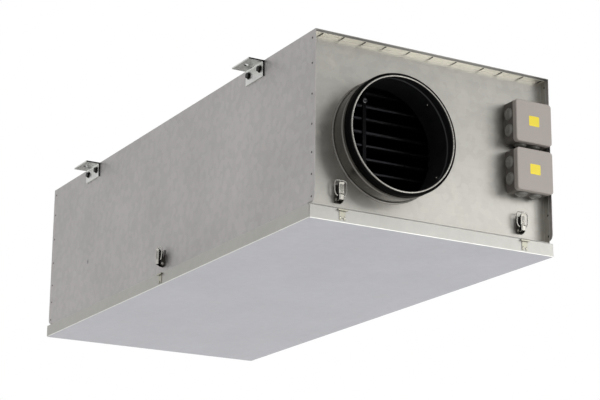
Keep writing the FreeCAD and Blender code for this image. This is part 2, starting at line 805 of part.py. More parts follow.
def hanger_bracket(label, right, front):
    """A hanger bracket: an angle bolted to the side with its top leg level with the casing's
    top. Right and front are 1 or -1."""
    body = doc.addObject("PartDesign::Body", label)
    profile = new_sketch(body, label + "_profile", "XZ_Plane")
    draw_outline(profile, [
        ("0", "casing_height"),
        ("0", "casing_height - bracket_drop"),
        ("bracket_sheet", "casing_height - bracket_drop"),
        ("bracket_sheet", "casing_height - bracket_sheet"),
        ("bracket_reach", "casing_height - bracket_sheet"),
        ("bracket_reach", "casing_height"),
    ])
    angle = pad(body, label + "_angle", profile, "bracket_length", midplane=True)
    crook_x = worth("bracket_sheet")
    crook_z = worth("casing_height - bracket_sheet")
    round_edges(
        body, label + "_bend", angle, "bracket_bend_radius",
        lambda middle, along: close_to(middle.x, crook_x) and close_to(middle.z, crook_z),
    )
    doc.recompute()
    hole = new_sketch(body, label + "_hole_outline", "XY_Plane")
    draw_circle(hole, ("hanger_hole_standoff", "0"), "hanger_hole_radius")
    pocket_through(body, label + "_hole", hole)
    turn(body, Vector(0, 0, 1), 0 if right > 0 else 180)
    return put(body, f"{right} * {HALF_WIDTH}", f"{front} * ({HALF_LENGTH} - bracket_from_end)")


def hanger_bolts():
    """The hexagon heads that hold each bracket to its side, two a bracket."""
    heads = []
    for right in (1, -1):
        for front in (1, -1):
            for along in (1, -1):
                head = doc.addObject("Part::Prism", f"bolt_{right}_{front}_{along}")
                head.Polygon = 6
                head.setExpression("Circumradius", bound("bolt_head_radius"))
                head.setExpression("Height", bound("bolt_head_height"))
                turn(head, Vector(0, 1, 0), 90 * right)
                put(head, f"{right} * ({HALF_WIDTH} + bracket_sheet)",
                    f"{front} * ({HALF_LENGTH} - bracket_from_end) + {along} * bolt_offset",
                    "casing_height - bolt_drop")
                heads.append(head)
    name_part(gather("hanger_bolts", heads), "hanger_bolts")


side_panel("left_side_panel", f"-{HALF_WIDTH}")
side_panel("right_side_panel", f"{HALF_WIDTH} - skin_thickness")
name_part(block("top_panel", (f"-{HALF_WIDTH}", f"-{HALF_LENGTH}", BODY_TOP),
                (HALF_WIDTH, HALF_LENGTH, "casing_height")), "top_panel")
end_panel("front_end_panel", -1)
end_panel("back_end_panel", 1)

inner_skin_y = f"({PANEL_Y} - skin_thickness)"
name_part(block("left_lining",
                (f"-({HALF_WIDTH} - skin_thickness)", f"-{inner_skin_y}", BODY_BOTTOM),
                (f"-{INNER_X}", inner_skin_y, BODY_TOP)), "left_lining")
name_part(block("right_lining", (INNER_X, f"-{inner_skin_y}", BODY_BOTTOM),
                (f"{HALF_WIDTH} - skin_thickness", inner_skin_y, BODY_TOP)), "right_lining")
name_part(block("top_lining", (f"-{INNER_X}", f"-{inner_skin_y}", CEILING_Z),
                (INNER_X, inner_skin_y, BODY_TOP)), "top_lining")
end_lining("front_lining", -1)
end_lining("back_lining", 1)

cover_tray()
name_part(block("cover_lining",
                (f"-({HALF_WIDTH} - skin_thickness)", f"-{inner_skin_y}", "skin_thickness"),
                (f"{HALF_WIDTH} - skin_thickness", inner_skin_y, BODY_BOTTOM)), "cover_lining")

ends = (("front", -1), ("back", 1))
name_part(gather("duct_spigots", [duct_spigot(f"{end}_spigot", facing) for end, facing in ends]),
          "duct_spigots")
name_part(gather("spigot_seals", [spigot_seal(f"{end}_seal", facing) for end, facing in ends]),
          "spigot_seals")
heater()
inlet_filter()
boxes = (
    ("upper_box", "(casing_height - box_below_top)"),
    ("lower_box", "(casing_height - box_below_top - box_pitch)"),
)
for name, height in boxes:
    junction_box(name, height)
name_part(gather("box_membranes", membranes(*boxes[0]) + membranes(*boxes[1])), "box_membranes")

name_part(gather("latch_bases", [latch_base(latch) for latch in LATCHES]), "latch_bases")
name_part(gather("latch_keepers", [latch_keeper(latch) for latch in LATCHES]), "latch_keepers")
for latch in LATCHES:
    latch_lever(latch)
    latch_bail(latch)

brackets = [
    hanger_bracket(f"{end}_{side}_bracket", right, front)
    for end, front in ends
    for side, right in (("left", -1), ("right", 1))
]
name_part(gather("hanger_brackets", brackets), "hanger_brackets")
hanger_bolts()

doc.recompute()

for member in doc.Objects:
    if {"Invalid", "Error"} & set(member.State):
        raise RuntimeError(f"{member.Label} failed: {member.State}")
for part in sub_parts:
    if part.Shape.isNull() or not part.Shape.isValid():
        raise RuntimeError(f"{part.Label} has no valid shape")

os.makedirs("parts", exist_ok=True)
for part in sub_parts:
    part.Shape.exportStep(f"parts/{part.Label}.step")
    box = part.Shape.BoundBox
    print(f"{part.Label}: {len(part.Shape.Solids)} solids, {part.Shape.Volume / 1000:.1f} cm3, "
          f"x {box.XMin:.1f} to {box.XMax:.1f}, y {box.YMin:.1f} to {box.YMax:.1f}, "
          f"z {box.ZMin:.1f} to {box.ZMax:.1f}")
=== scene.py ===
"""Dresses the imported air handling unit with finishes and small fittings, and lights it."""
import logging
import math
from dataclasses import dataclass, field
from enum import Enum

import bmesh
import bpy
import numpy as np
from mathutils import Matrix, Vector


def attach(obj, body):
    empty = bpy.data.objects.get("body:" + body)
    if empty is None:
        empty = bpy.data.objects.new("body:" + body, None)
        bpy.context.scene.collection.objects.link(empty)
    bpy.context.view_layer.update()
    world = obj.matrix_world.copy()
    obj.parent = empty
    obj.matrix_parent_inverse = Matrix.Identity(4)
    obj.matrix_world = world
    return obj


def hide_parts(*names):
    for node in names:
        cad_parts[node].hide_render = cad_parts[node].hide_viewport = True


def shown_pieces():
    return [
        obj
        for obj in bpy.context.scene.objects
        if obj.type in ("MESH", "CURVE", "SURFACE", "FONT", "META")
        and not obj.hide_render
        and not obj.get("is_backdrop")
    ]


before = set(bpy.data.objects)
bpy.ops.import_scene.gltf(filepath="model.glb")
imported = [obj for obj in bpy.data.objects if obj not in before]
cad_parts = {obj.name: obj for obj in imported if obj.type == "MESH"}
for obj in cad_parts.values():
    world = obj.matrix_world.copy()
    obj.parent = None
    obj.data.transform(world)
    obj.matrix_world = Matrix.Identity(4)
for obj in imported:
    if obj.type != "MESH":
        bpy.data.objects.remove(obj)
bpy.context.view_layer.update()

MM = 0.001
CASING = "casing"
SHARP_EDGE = math.radians(32)
UPRIGHT_WAY = (0.0, 0.0, 1.0)
ENDWISE_WAY = (0.0, 1.0, 0.0)
CROSSWISE_WAY = (1.0, 0.0, 0.0)
DOWNWARD_AXES = np.diag([1.0, -1.0, -1.0])

Colour = tuple[float, float, float]
Array = np.ndarray
Socket = bpy.types.NodeSocket
Spot = tuple[float, float, float]

log = logging.getLogger("air_handling_unit")


class Grain(Enum):
    """The way a sheet's rolling grain runs: how much its noise is stretched along x, y, z."""

    UPRIGHT = (1.0, 1.0, 0.04)
    LENGTHWISE = (1.0, 0.04, 1.0)
    ACROSS = (0.04, 1.0, 1.0)
    NONE = (1.0, 1.0, 1.0)


class Wall(Enum):
    """A wall of the casing: the direction that it faces and its distance from the middle."""

    FRONT = ((0.0, -1.0, 0.0), 639.0)
    BACK = ((0.0, 1.0, 0.0), 639.0)
    LEFT = ((-1.0, 0.0, 0.0), 285.0)
    RIGHT = ((1.0, 0.0, 0.0), 285.0)

    @property
    def out(self) -> Array:
        """The unit vector out of the wall."""
        return np.array(self.value[0])

    def axes(self) -> Array:
        """The columns are the directions along the wall, up and out, right-handed."""
        up = np.array([0.0, 0.0, 1.0])
        return np.stack([np.cross(up, self.out), up, self.out], axis=1)

    def spot(self, along: float, height: float, standoff: float = 0.0) -> Array:
        """A point off the wall in metres.

        Args:
            along: distance from the wall's middle along the wall, in mm.
            height: height over the underside of the cover, in mm.
            standoff: distance out of the wall's face, in mm.

        Returns:
            The point in the shared frame.
        """
        foot = self.out * self.value[1]
        local = np.array([along, height, standoff])
        return (foot + self.axes() @ local) * MM


# Surfaces

@dataclass
class Surface:
    """Points in metres and the faces between them."""

    points: Array
    faces: list[list[int]]

    def placed(self, axes: Array, spot: Array) -> "Surface":
        """This surface turned by the axes in its columns and moved to a spot."""
        return Surface(self.points @ np.asarray(axes).T + np.asarray(spot), self.faces)


def joined(surfaces: list[Surface]) -> Surface:
    """Several surfaces as one, their points one after another.

    Args:
        surfaces: the surfaces, at least one.

    Returns:
        The one surface.
    """
    starts = np.cumsum([0] + [len(surface.points) for surface in surfaces[:-1]])
    faces = [
        [index + int(start) for index in face]
        for surface, start in zip(surfaces, starts)
        for face in surface.faces
    ]
    return Surface(np.vstack([surface.points for surface in surfaces]), faces)


def grid_surface(points: Array, wrap_rows: bool = False, wrap_columns: bool = False,
                 caps: bool = False) -> Surface:
    """A surface over a grid of points: each face joins four neighbours of the grid.

    Args:
        points: the grid, rows by columns by three.
        wrap_rows: whether the last row joins the first.
        wrap_columns: whether the last column joins the first.
        caps: whether the first and the last row are closed with a flat face.

    Returns:
        The surface.
    """
    rows, columns = points.shape[:2]
    index = np.arange(rows * columns).reshape(rows, columns)
    if wrap_rows:
        index = np.vstack([index, index[:1]])
    if wrap_columns:
        index = np.hstack([index, index[:, :1]])
    corners = [index[:-1, :-1], index[:-1, 1:], index[1:, 1:], index[1:, :-1]]
    faces = np.stack(corners, axis=-1).reshape(-1, 4).tolist()
    if caps:
        faces += [index[0, :columns].tolist()[::-1], index[-1, :columns].tolist()]
    return Surface(points.reshape(-1, 3), faces)


def revolved(profile: Array, segments: int, closed: bool = False) -> Surface:
    """A profile turned about the z axis: the point at turn t is (r cos t, r sin t, h).

    Args:
        profile: rows of radius and height in mm.
        segments: number of steps round the axis.
        closed: whether the profile is a loop, as a tube's wall is.

    Returns:
        The surface, with any pole still to be merged.
    """
    turn = np.linspace(0, 2 * math.pi, segments, endpoint=False)
    radius, height = profile[:, :1] * MM, profile[:, 1:] * MM
    points = np.stack([
        radius * np.cos(turn),
        radius * np.sin(turn),
        np.broadcast_to(height, (len(profile), segments)),
    ], axis=-1)
    return grid_surface(points, wrap_rows=closed, wrap_columns=True)


def eased_path(corners: Array, bend: Array | float, steps: int = 6) -> Array:
    """A path of straight runs with eased corners: each is a curve of the second degree that
    leaves one run and joins the next at the bend's distance from the corner.

    Args:
        corners: the path's points, first and last included.
        bend: distance from a corner at which its curve starts, in the path's own unit,
            as one value or as a column with one value per corner.
        steps: number of points on each curve.

    Returns:
        The points of the eased path.
    """
    inner = corners[1:-1]
    before, after = corners[:-2] - inner, corners[2:] - inner
    reach_before = np.linalg.norm(before, axis=1, keepdims=True)
    reach_after = np.linalg.norm(after, axis=1, keepdims=True)
    near = np.minimum(bend, 0.48 * np.minimum(reach_before, reach_after))
    start = inner + before / reach_before * near
    end = inner + after / reach_after * near
    part = np.linspace(0, 1, steps)[None, :, None]
    curve = ((1 - part) ** 2 * start[:, None] + 2 * part * (1 - part) * inner[:, None]
             + part ** 2 * end[:, None])
    return np.vstack([corners[:1], curve.reshape(-1, corners.shape[1]), corners[-1:]])


def swept_wire(path: Array, plane: Array, radius: float, sides: int = 14) -> Surface:
    """A round wire along a flat path: each ring is the path's point plus the radius times
    (cos t of the path's side direction + sin t of the plane's normal).

    Args:
        path: points in metres, all in one plane.
        plane: the normal of that plane.
        radius: the wire's radius in metres.
        sides: number of steps round the wire.

    Returns:
        The closed surface.
    """
    ahead = np.gradient(path, axis=0)
    ahead /= np.linalg.norm(ahead, axis=1, keepdims=True)
    aside = np.cross(plane, ahead)
    turn = np.linspace(0, 2 * math.pi, sides, endpoint=False)[None, :, None]
    rings = path[:, None] + radius * (np.cos(turn) * aside[:, None] + np.sin(turn) * plane)
    return grid_surface(rings, wrap_columns=True, caps=True)


def rounded_rectangle(half_width: float, half_height: float, radius: float,
                      steps: int = 6) -> Array:
    """The outline of a rectangle whose corners are quarter circles of the radius.

    Args:
        half_width: half of its size along x.
        half_height: half of its size along y.
        radius: the radius of its corners.
        steps: number of points on each corner.

    Returns:
        The outline's points, in the same unit.
    """
    turn = np.linspace(0, math.pi / 2, steps)
    quarter = np.stack([np.cos(turn), np.sin(turn)], axis=1) * radius
    signs = np.array([[1, 1], [-1, 1], [-1, -1], [1, -1]])
    middles = signs * np.array([half_width - radius, half_height - radius])
    flipped = quarter[::-1]
    arcs = [
        (quarter if sign[0] * sign[1] > 0 else flipped) * sign + middle
        for sign, middle in zip(signs, middles)
    ]
    return np.vstack(arcs)


def rounded_slab(half_width: float, half_height: float, thickness: float, radius: float,
                 edge: float = 0.0) -> Surface:
    """A flat plate with rounded corners, its front edge eased: three outlines, the last one
    smaller by the edge.

    Args:
        half_width: half of its size along x, in mm.
        half_height: half of its size along y, in mm.
        thickness: its size along z, in mm, from 0 up.
        radius: the radius of its corners, in mm.
        edge: how much its front edge is eased, in mm.

    Returns:
        The closed surface.
    """
    levels = [(0.0, 0.0), (0.0, thickness - edge), (edge * 0.3, thickness - edge * 0.3),
              (edge, thickness)]
    if not edge:
        levels = [(0.0, 0.0), (0.0, thickness)]
    rows = []
    for inset, height in levels:
        outline = rounded_rectangle(half_width - inset, half_height - inset,
                                    max(radius - inset, 0.05))
        rows.append(np.column_stack([outline, np.full(len(outline), height)]))
    return grid_surface(np.array(rows) * MM, wrap_columns=True, caps=True)


def dome(radius: float, height: float, rim: float = 0.0, rings: int = 5,
         segments: int = 20) -> Surface:
    """A round head: a straight rim, then a crown whose height falls with the square of the
    distance from its middle, and a flat foot.

    Args:
        radius: the head's radius, in mm.
        height: the height of its middle, in mm.
        rim: the height of its straight rim, in mm.
        rings: number of rings of the crown.
        segments: number of steps round the head.

    Returns:
        The closed surface, with its foot at 0.
    """
    share = np.linspace(1, 0, rings)
    crown = np.column_stack([share * radius, rim + (height - rim) * (1 - share ** 2)])
    profile = np.vstack([[0.0, 0.0], [radius, 0.0], crown])
    return revolved(profile, segments)


def repeated(surface: Surface, axes: Array, spots: list[Array]) -> Surface:
    """The same surface at several spots, all turned alike."""
    return joined([surface.placed(axes, spot) for spot in spots])


def make_piece(name: str, surface: Surface, material: bpy.types.Material,
               body: str = CASING) -> bpy.types.Object:
    """Puts a surface into the scene as a piece that rides on a body.

    Args:
        name: the piece's name.
        surface: its shape.
        material: its finish.
        body: the body that carries it.

    Returns:
        The piece's object.
    """
    mesh = bpy.data.meshes.new(name)
    mesh.from_pydata(surface.points.tolist(), [], surface.faces)
    work = bmesh.new()
    work.from_mesh(mesh)
    bmesh.ops.remove_doubles(work, verts=work.verts, dist=1e-6)
    bmesh.ops.recalc_face_normals(work, faces=work.faces)
    work.to_mesh(mesh)
    work.free()
    mesh.shade_smooth()
    mesh.set_sharp_from_angle(angle=SHARP_EDGE)
    mesh.materials.append(material)
    piece = bpy.data.objects.new(name, mesh)
    bpy.context.scene.collection.objects.link(piece)
    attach(piece, body)
    return piece


def dress(node: str, material: bpy.types.Material) -> None:
    """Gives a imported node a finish, and shades its curved walls smoothly.

    Args:
        node: the node's name.
        material: its finish.
    """
    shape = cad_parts[node]
    shape.data.materials.clear()
    shape.data.materials.append(material)
    weld = shape.modifiers.new("joined_triangles", "WELD")
    weld.merge_threshold = 2e-6
    split = shape.modifiers.new("sharp_edges", "EDGE_SPLIT")
    split.split_angle = SHARP_EDGE
    shape.data.shade_smooth()


# Node trees

def linear(colour: Colour) -> tuple[float, float, float, float]:
    """A colour as it shows on a screen, 0 to 255, turned to linear light.

    Args:
        colour: red, green and blue.

    Returns:
        The linear colour, 0 to 1, with an alpha of 1.
    """
    level = np.array(colour) / 255
    low, high = level / 12.92, ((level + 0.055) / 1.055) ** 2.4
    return (*np.where(level <= 0.04045, low, high).tolist(), 1.0)


class Tree:
    """A node tree under construction."""

    def __init__(self, tree: bpy.types.NodeTree) -> None:
        """Starts on an empty tree."""
        self.tree = tree
        tree.nodes.clear()

    def add(self, kind: str, links: dict[str | int, object] | None = None,
            **settings: object) -> bpy.types.Node:
        """Adds a node.

        Args:
            kind: the node's type name.
            links: for each input, by name or number, a socket to link or a value to set.
            settings: the node's own properties.

        Returns:
            The node.
        """
        node = self.tree.nodes.new(kind)
        for key, value in settings.items():
            setattr(node, key, value)
        for key, value in (links or {}).items():
            if isinstance(value, Socket):
                self.tree.links.new(value, node.inputs[key])
            else:
                node.inputs[key].default_value = value
        return node

    def math(self, operation: str, first: object, second: object = 0.0) -> Socket:
        """The result of a sum on two values."""
        return self.add("ShaderNodeMath", {0: first, 1: second}, operation=operation).outputs[0]

    def vector(self, operation: str, first: object, second: object) -> bpy.types.Node:
        """A node that does a sum on two vectors."""
        return self.add("ShaderNodeVectorMath", {0: first, 1: second}, operation=operation)

    def remap(self, value: Socket, low: float, high: float, new_low: float = 0.0,
              new_high: float = 1.0) -> Socket:
        """A value moved from one span to another, and held inside it.

        Args:
            value: the value.
            low: the start of its span.
            high: the end of its span.
            new_low: the level at the start.
            new_high: the level at the end.

        Returns:
            The level.
        """
        node = self.add("ShaderNodeMapRange", {
            "Value": value, "From Min": low, "From Max": high,
            "To Min": new_low, "To Max": new_high,
        })
        return node.outputs["Result"]

    def blend(self, share: object, first: object, second: object,
              kind: str = "MIX") -> Socket:
        """Two colours blended by a share.

        Args:
            share: how much the second colour counts, 0 to 1.
            first: the first colour.
            second: the second colour.
            kind: the kind of blend.

        Returns:
            The blended colour.
        """
        node = self.add("ShaderNodeMix", data_type="RGBA", blend_type=kind)
        for name, value in (("Factor_Float", share), ("A_Color", first), ("B_Color", second)):
            socket = next(s for s in node.inputs if s.identifier == name)
            if isinstance(value, Socket):
                self.tree.links.new(value, socket)
            else:
                socket.default_value = value
        return next(s for s in node.outputs if s.identifier == "Result_Color")

    def noise(self, place: Socket, scale: object, detail: float = 3.0,
              roughness: float = 0.55) -> Socket:
        """Cloudy noise around one half.

        Args:
            place: the point.
            scale: how often the clouds repeat in a metre.
            detail: number of finer layers.
            roughness: how much the finer layers count.

        Returns:
            The noise, 0 to 1.
        """
        node = self.add("ShaderNodeTexNoise", {
            "Vector": place, "Scale": scale, "Detail": detail, "Roughness": roughness,
        })
        return node.outputs[0]

    def group(self, group: bpy.types.NodeTree, links: dict[str, object]) -> bpy.types.Node:
        """Places a node group."""
        return self.add("ShaderNodeGroup", links, node_tree=group)

    def place(self) -> Socket:
        """The point in the piece's own coordinates, in metres."""
        return self.add("ShaderNodeTexCoord").outputs["Object"]

    def spread(self, mask: Socket, middle: float, depth: float) -> Socket:
        """A mask from 0.3 to 0.7 as a level from middle - depth to middle + depth."""
        return self.remap(mask, 0.3, 0.7, middle - depth, middle + depth)

    def shaded(self, colour: object, level: Socket) -> Socket:
        """A colour multiplied by a level."""
        return self.blend(1.0, colour, level, "MULTIPLY")

    def edge_tinted(self, colour: Socket, edge: bpy.types.Node, share: float, edge_colour: Colour) -> Socket:
        """A colour whose edges show another one, up to a share: scuffed metal, and on some
        finishes painted highlight or painted shade along the edges.
        """
        return self.blend(self.math("MULTIPLY", edge.outputs["Wear"], share), colour, linear(edge_colour))

    def bumped(self, height: Socket, strength: float, distance: float,
               edge: bpy.types.Node) -> Socket:
        """The eased normal, roughened by a height.

        Args:
            height: the height, 0 to 1.
            strength: how much the height counts.
            distance: the height's own size, in metres.
            edge: the node group that eases the edges.

        Returns:
            The normal.
        """
        return self.add("ShaderNodeBump", {
            "Height": height, "Strength": strength, "Distance": distance,
            "Normal": edge.outputs["Normal"]}).outputs[0]

    def seen(self) -> Socket:
        """Which rays see the plain white: the camera's, mirrors' and those through glass.

        Returns:
            1 for these rays, else 0.
        """
        path = self.add("ShaderNodeLightPath").outputs
        direct = self.math("MAXIMUM", path["Is Camera Ray"], path["Is Glossy Ray"])
        return self.math("MAXIMUM", direct, path["Is Transmission Ray"])


def new_group(name: str, inputs: dict[str, str], outputs: dict[str, str]
              ) -> tuple[bpy.types.NodeTree, Tree, bpy.types.Node, bpy.types.Node]:
    """An empty node group with named sockets.

    Args:
        name: the group's name.
        inputs: for each input, Float or Vector.
        outputs: for each output, Float or Vector.

    Returns:
        The group, a tree to fill it, its input node and its output node.
    """
    group = bpy.data.node_groups.new(name, "ShaderNodeTree")
    tree = Tree(group)
    for label, kind in inputs.items():
        group.interface.new_socket(label, in_out="INPUT", socket_type="NodeSocket" + kind)
    for label, kind in outputs.items():
        group.interface.new_socket(label, in_out="OUTPUT", socket_type="NodeSocket" + kind)
    return group, tree, tree.add("NodeGroupInput"), tree.add("NodeGroupOutput")


def rolled_grain_group() -> bpy.types.NodeTree:
    """Fine streaks that a rolling mill leaves: two noises, both stretched the same way.

    Returns:
        The node group.
    """
    group, tree, start, end = new_group(
        "rolled_grain", {"Place": "Vector", "Stretch": "Vector", "Scale": "Float"},
        {"Mask": "Float"})
    stretched = tree.vector("MULTIPLY", start.outputs["Place"], start.outputs["Stretch"])
    fine = tree.noise(stretched.outputs[0], start.outputs["Scale"], 4.0, 0.6)
    broad_scale = tree.math("MULTIPLY", start.outputs["Scale"], 0.12)
    broad = tree.noise(stretched.outputs[0], broad_scale, 2.0)
    mean = tree.math("MULTIPLY", tree.math("ADD", fine, broad), 0.5)
    tree.tree.links.new(mean, end.inputs["Mask"])
    return group


def zinc_spangle_group() -> bpy.types.NodeTree:
    """The crystals of hot-dip zinc: cells with ragged borders, each with a level of its own.

    Returns:
        The node group.
    """
    group, tree, start, end = new_group(
        "zinc_spangle", {"Place": "Vector", "Scale": "Float"}, {"Mask": "Float"})
    ragged = tree.add("ShaderNodeTexNoise", {
        "Vector": start.outputs["Place"], "Scale": 160.0, "Detail": 2.0})
    shift = tree.vector("SCALE", ragged.outputs["Color"], (0.0, 0.0, 0.0))
    shift.inputs["Scale"].default_value = 0.006
    moved = tree.vector("ADD", start.outputs["Place"], shift.outputs[0])
    cells = tree.add("ShaderNodeTexVoronoi", {
        "Vector": moved.outputs[0], "Scale": start.outputs["Scale"]})
    level = tree.add("ShaderNodeSeparateColor", {"Color": cells.outputs["Color"]})
    tree.tree.links.new(level.outputs[0], end.inputs["Mask"])
    return group


def handling_marks_group() -> bpy.types.NodeTree:
    """What storage and hands leave: broad clouds, and small smudges where noise peaks.

    Returns:
        The node group.
    """
    group, tree, start, end = new_group(
        "handling_marks", {"Place": "Vector"}, {"Clouds": "Float", "Smudges": "Float"})
    place = start.outputs["Place"]
    clouds = tree.noise(place, 5.0, 3.0)
    patches = tree.remap(tree.noise(place, 21.0, 6.0, 0.65), 0.56, 0.74)
    scattered = tree.remap(tree.noise(place, 7.0, 2.0), 0.45, 0.62)
    tree.tree.links.new(clouds, end.inputs["Clouds"])
    tree.tree.links.new(tree.math("MULTIPLY", patches, scattered), end.inputs["Smudges"])
    return group


def soft_edges_group() -> bpy.types.NodeTree:
    """Edges that catch the light: a normal eased over the edges, and a mask that grows where
    the eased normal leaves the true one, broken up by noise.

    Returns:
        The node group.
    """
    group, tree, start, end = new_group(
        "soft_edges", {"Place": "Vector", "Radius": "Float"},
        {"Normal": "Vector", "Wear": "Float"})
    eased = tree.add("ShaderNodeBevel", {"Radius": start.outputs["Radius"]}, samples=6)
    true_normal = tree.add("ShaderNodeNewGeometry").outputs["Normal"]
    facing = tree.vector("DOT_PRODUCT", eased.outputs[0], true_normal).outputs["Value"]
    edge = tree.remap(facing, 0.99, 0.75)
    broken = tree.remap(tree.noise(start.outputs["Place"], 60.0, 4.0), 0.35, 0.6)
    tree.tree.links.new(eased.outputs[0], end.inputs["Normal"])
    tree.tree.links.new(tree.math("MULTIPLY", edge, broken), end.inputs["Wear"])
    return group


@dataclass
class Effects:
    """The node groups that the finishes share."""

    grain: bpy.types.NodeTree = field(default_factory=rolled_grain_group)
    spangle: bpy.types.NodeTree = field(default_factory=zinc_spangle_group)
    marks: bpy.types.NodeTree = field(default_factory=handling_marks_group)
    edges: bpy.types.NodeTree = field(default_factory=soft_edges_group)


effects = Effects()


# Finishes

def new_material(name: str) -> tuple[bpy.types.Material, Tree]:
    """An empty node material and a tree to fill it.

    Args:
        name: the material's name.

    Returns:
        The material and its tree.
    """
    material = bpy.data.materials.new(name)
    material.use_nodes = True
    return material, Tree(material.node_tree)


def finish_shader(tree: Tree, colour: Socket, roughness: Socket, normal: Socket,
                  metallic: object = 0.0, **fixed: float) -> None:
    """Ends a material with its shader.

    Args:
        tree: the material's tree.
        colour: the base colour.
        roughness: the roughness.
        normal: the surface normal.
        metallic: the metallic share.
        fixed: further shader inputs by name, with spaces as underscores.
    """
    links = {"Base Color": colour, "Roughness": roughness, "Normal": normal,
             "Metallic": metallic}
    links.update({key.replace("_", " "): value for key, value in fixed.items()})
    shader = tree.add("ShaderNodeBsdfPrincipled", links)
    tree.add("ShaderNodeOutputMaterial", {"Surface": shader.outputs[0]})


@dataclass(frozen=True)
class SheetMetal:
    """Galvanised sheet: rolled grain, faint spangle, clouds, smudges and bright edges, which on
    some finishes are painted highlight or painted shade. The faces square to one direction may
    have another colour, painted light or shade on most sheets and its own coat on the cover, the
    bends that lead to them a painted highlight, and one small dimple may mark the sheet with
    painted shade."""

    name: str
    colour: Colour = (152, 151, 149)
    grain: Grain = Grain.UPRIGHT
    roughness: float = 0.42
    streaks: float = 0.10
    spangle: float = 0.05
    clouds: float = 0.10
    smudges: float = 0.10
    # Edges: scuffed metal, with painted highlight on the cover and the levers and painted shade on
    # the keepers.
    wear: float = 0.25
    edge_wear_and_painted_light_colour: Colour = (226, 224, 218)
    edge_radius: float = 0.6
    mirror: float = 0.85
    facing: tuple[Spot, Colour] | None = None
    bend: Colour | None = None
    dimple: Spot | None = None
    # The colour of the painted shade round the dimple.
    dimple_shade_colour: Colour = (104, 104, 106)
    dimple_reach: tuple[float, float] = (7.0, 1.5)
    smudge_colour: Colour = (214, 206, 190)
    grain_scale: float = 420.0
    spangle_scale: float = 75.0
    bend_share: tuple[float, float] = (0.12, 0.3)
    facing_share: tuple[float, float] = (0.75, 0.95)

    def material(self) -> bpy.types.Material:
        """Builds the finish.

        Returns:
            The material.
        """
        material, tree = new_material(self.name)
        place = tree.place()
        streak = tree.group(effects.grain, {
            "Place": place, "Stretch": self.grain.value,
            "Scale": self.grain_scale}).outputs[0]
        crystal = tree.group(effects.spangle, {
            "Place": place, "Scale": self.spangle_scale}).outputs[0]
        marks = tree.group(effects.marks, {"Place": place})
        edge = tree.group(effects.edges, {"Place": place, "Radius": self.edge_radius * MM})
        level = tree.spread(streak, 1, self.streaks)
        for mask, depth in ((crystal, self.spangle), (marks.outputs["Clouds"], self.clouds)):
            level = tree.math("MULTIPLY", level, tree.remap(mask, 0.2, 0.8, 1 - depth, 1 + depth))
        sheet: object = linear(self.colour)
        if self.facing:
            share = self._share_facing(tree)
            if self.bend:
                bent = tree.remap(share, *self.bend_share)
                sheet = tree.blend(bent, sheet, linear(self.bend))
            square = tree.remap(share, *self.facing_share)
            sheet = tree.blend(square, sheet, linear(self.facing[1]))
        colour = tree.shaded(sheet, level)
        smudge = tree.math("MULTIPLY", marks.outputs["Smudges"], self.smudges)
        colour = tree.blend(smudge, colour, linear(self.smudge_colour))
        if self.dimple:
            # Painted shade: the sheet is darker round the dimple.
            colour = tree.blend(self._dimple_shade(tree, place), colour, linear(self.dimple_shade_colour))
        # The edge colour: scuffed metal, and on some finishes painted highlight or painted shade.
        colour = tree.edge_tinted(colour, edge, self.wear, self.edge_wear_and_painted_light_colour)
        rough = tree.spread(streak, self.roughness, 0.05)
        rough = tree.math("ADD", rough, tree.math("MULTIPLY", crystal, self.spangle))
        rough = tree.math("ADD", rough, tree.math("MULTIPLY", marks.outputs["Smudges"], 0.08))
        normal = tree.bumped(streak, 0.08, 0.0002, edge)
        finish_shader(tree, colour, rough, normal, self.mirror)
        return material

    def _share_facing(self, tree: Tree) -> Socket:
        """How square each face is to the direction: 1 where it faces along it or back.

        Args:
            tree: the material's tree.

        Returns:
            The share, 0 to 1.
        """
        normal = tree.add("ShaderNodeNewGeometry").outputs["Normal"]
        lean = tree.vector("DOT_PRODUCT", normal, self.facing[0]).outputs["Value"]
        return tree.math("ABSOLUTE", lean, 0.0)

    def _dimple_shade(self, tree: Tree, place: Socket) -> Socket:
        """A mask that fades out within a few millimetres of the dimple's middle, where painted
        shade darkens the dent.

        Args:
            tree: the material's tree.
            place: the point.

        Returns:
            The mask, 0.8 in the middle.
        """
        spot = tuple(value * MM for value in self.dimple)
        offset = tree.vector("SUBTRACT", place, spot).outputs[0]
        reach = tree.vector("LENGTH", offset, (0.0, 0.0, 0.0)).outputs["Value"]
        far, near = (value * MM for value in self.dimple_reach)
        return tree.remap(reach, far, near, 0.0, 0.8)


@dataclass(frozen=True)
class BrightFitting:
    """Smooth metal on small parts: zinc plating, dark bolts, rods and wire."""

    name: str
    colour: Colour = (200, 198, 192)
    roughness: float = 0.24
    mottle: float = 0.18
    mottle_scale: float = 240.0
    wear: float = 0.4
    edge_wear_and_painted_light_colour: Colour = (236, 235, 230)
    edge_radius: float = 0.35

    def material(self) -> bpy.types.Material:
        """Builds the finish.

        Returns:
            The material.
        """
        material, tree = new_material(self.name)
        place = tree.place()
        edge = tree.group(effects.edges, {"Place": place, "Radius": self.edge_radius * MM})
        mottle = tree.noise(place, self.mottle_scale, 4.0)
        colour = tree.shaded(linear(self.colour), tree.spread(mottle, 1, self.mottle))
        colour = tree.edge_tinted(colour, edge, self.wear, self.edge_wear_and_painted_light_colour)
        rough = tree.remap(mottle, 0.3, 0.7, self.roughness - 0.06, self.roughness + 0.08)
        finish_shader(tree, colour, rough, tree.bumped(mottle, 0.1, 0.0002, edge), 0.95)
        return material


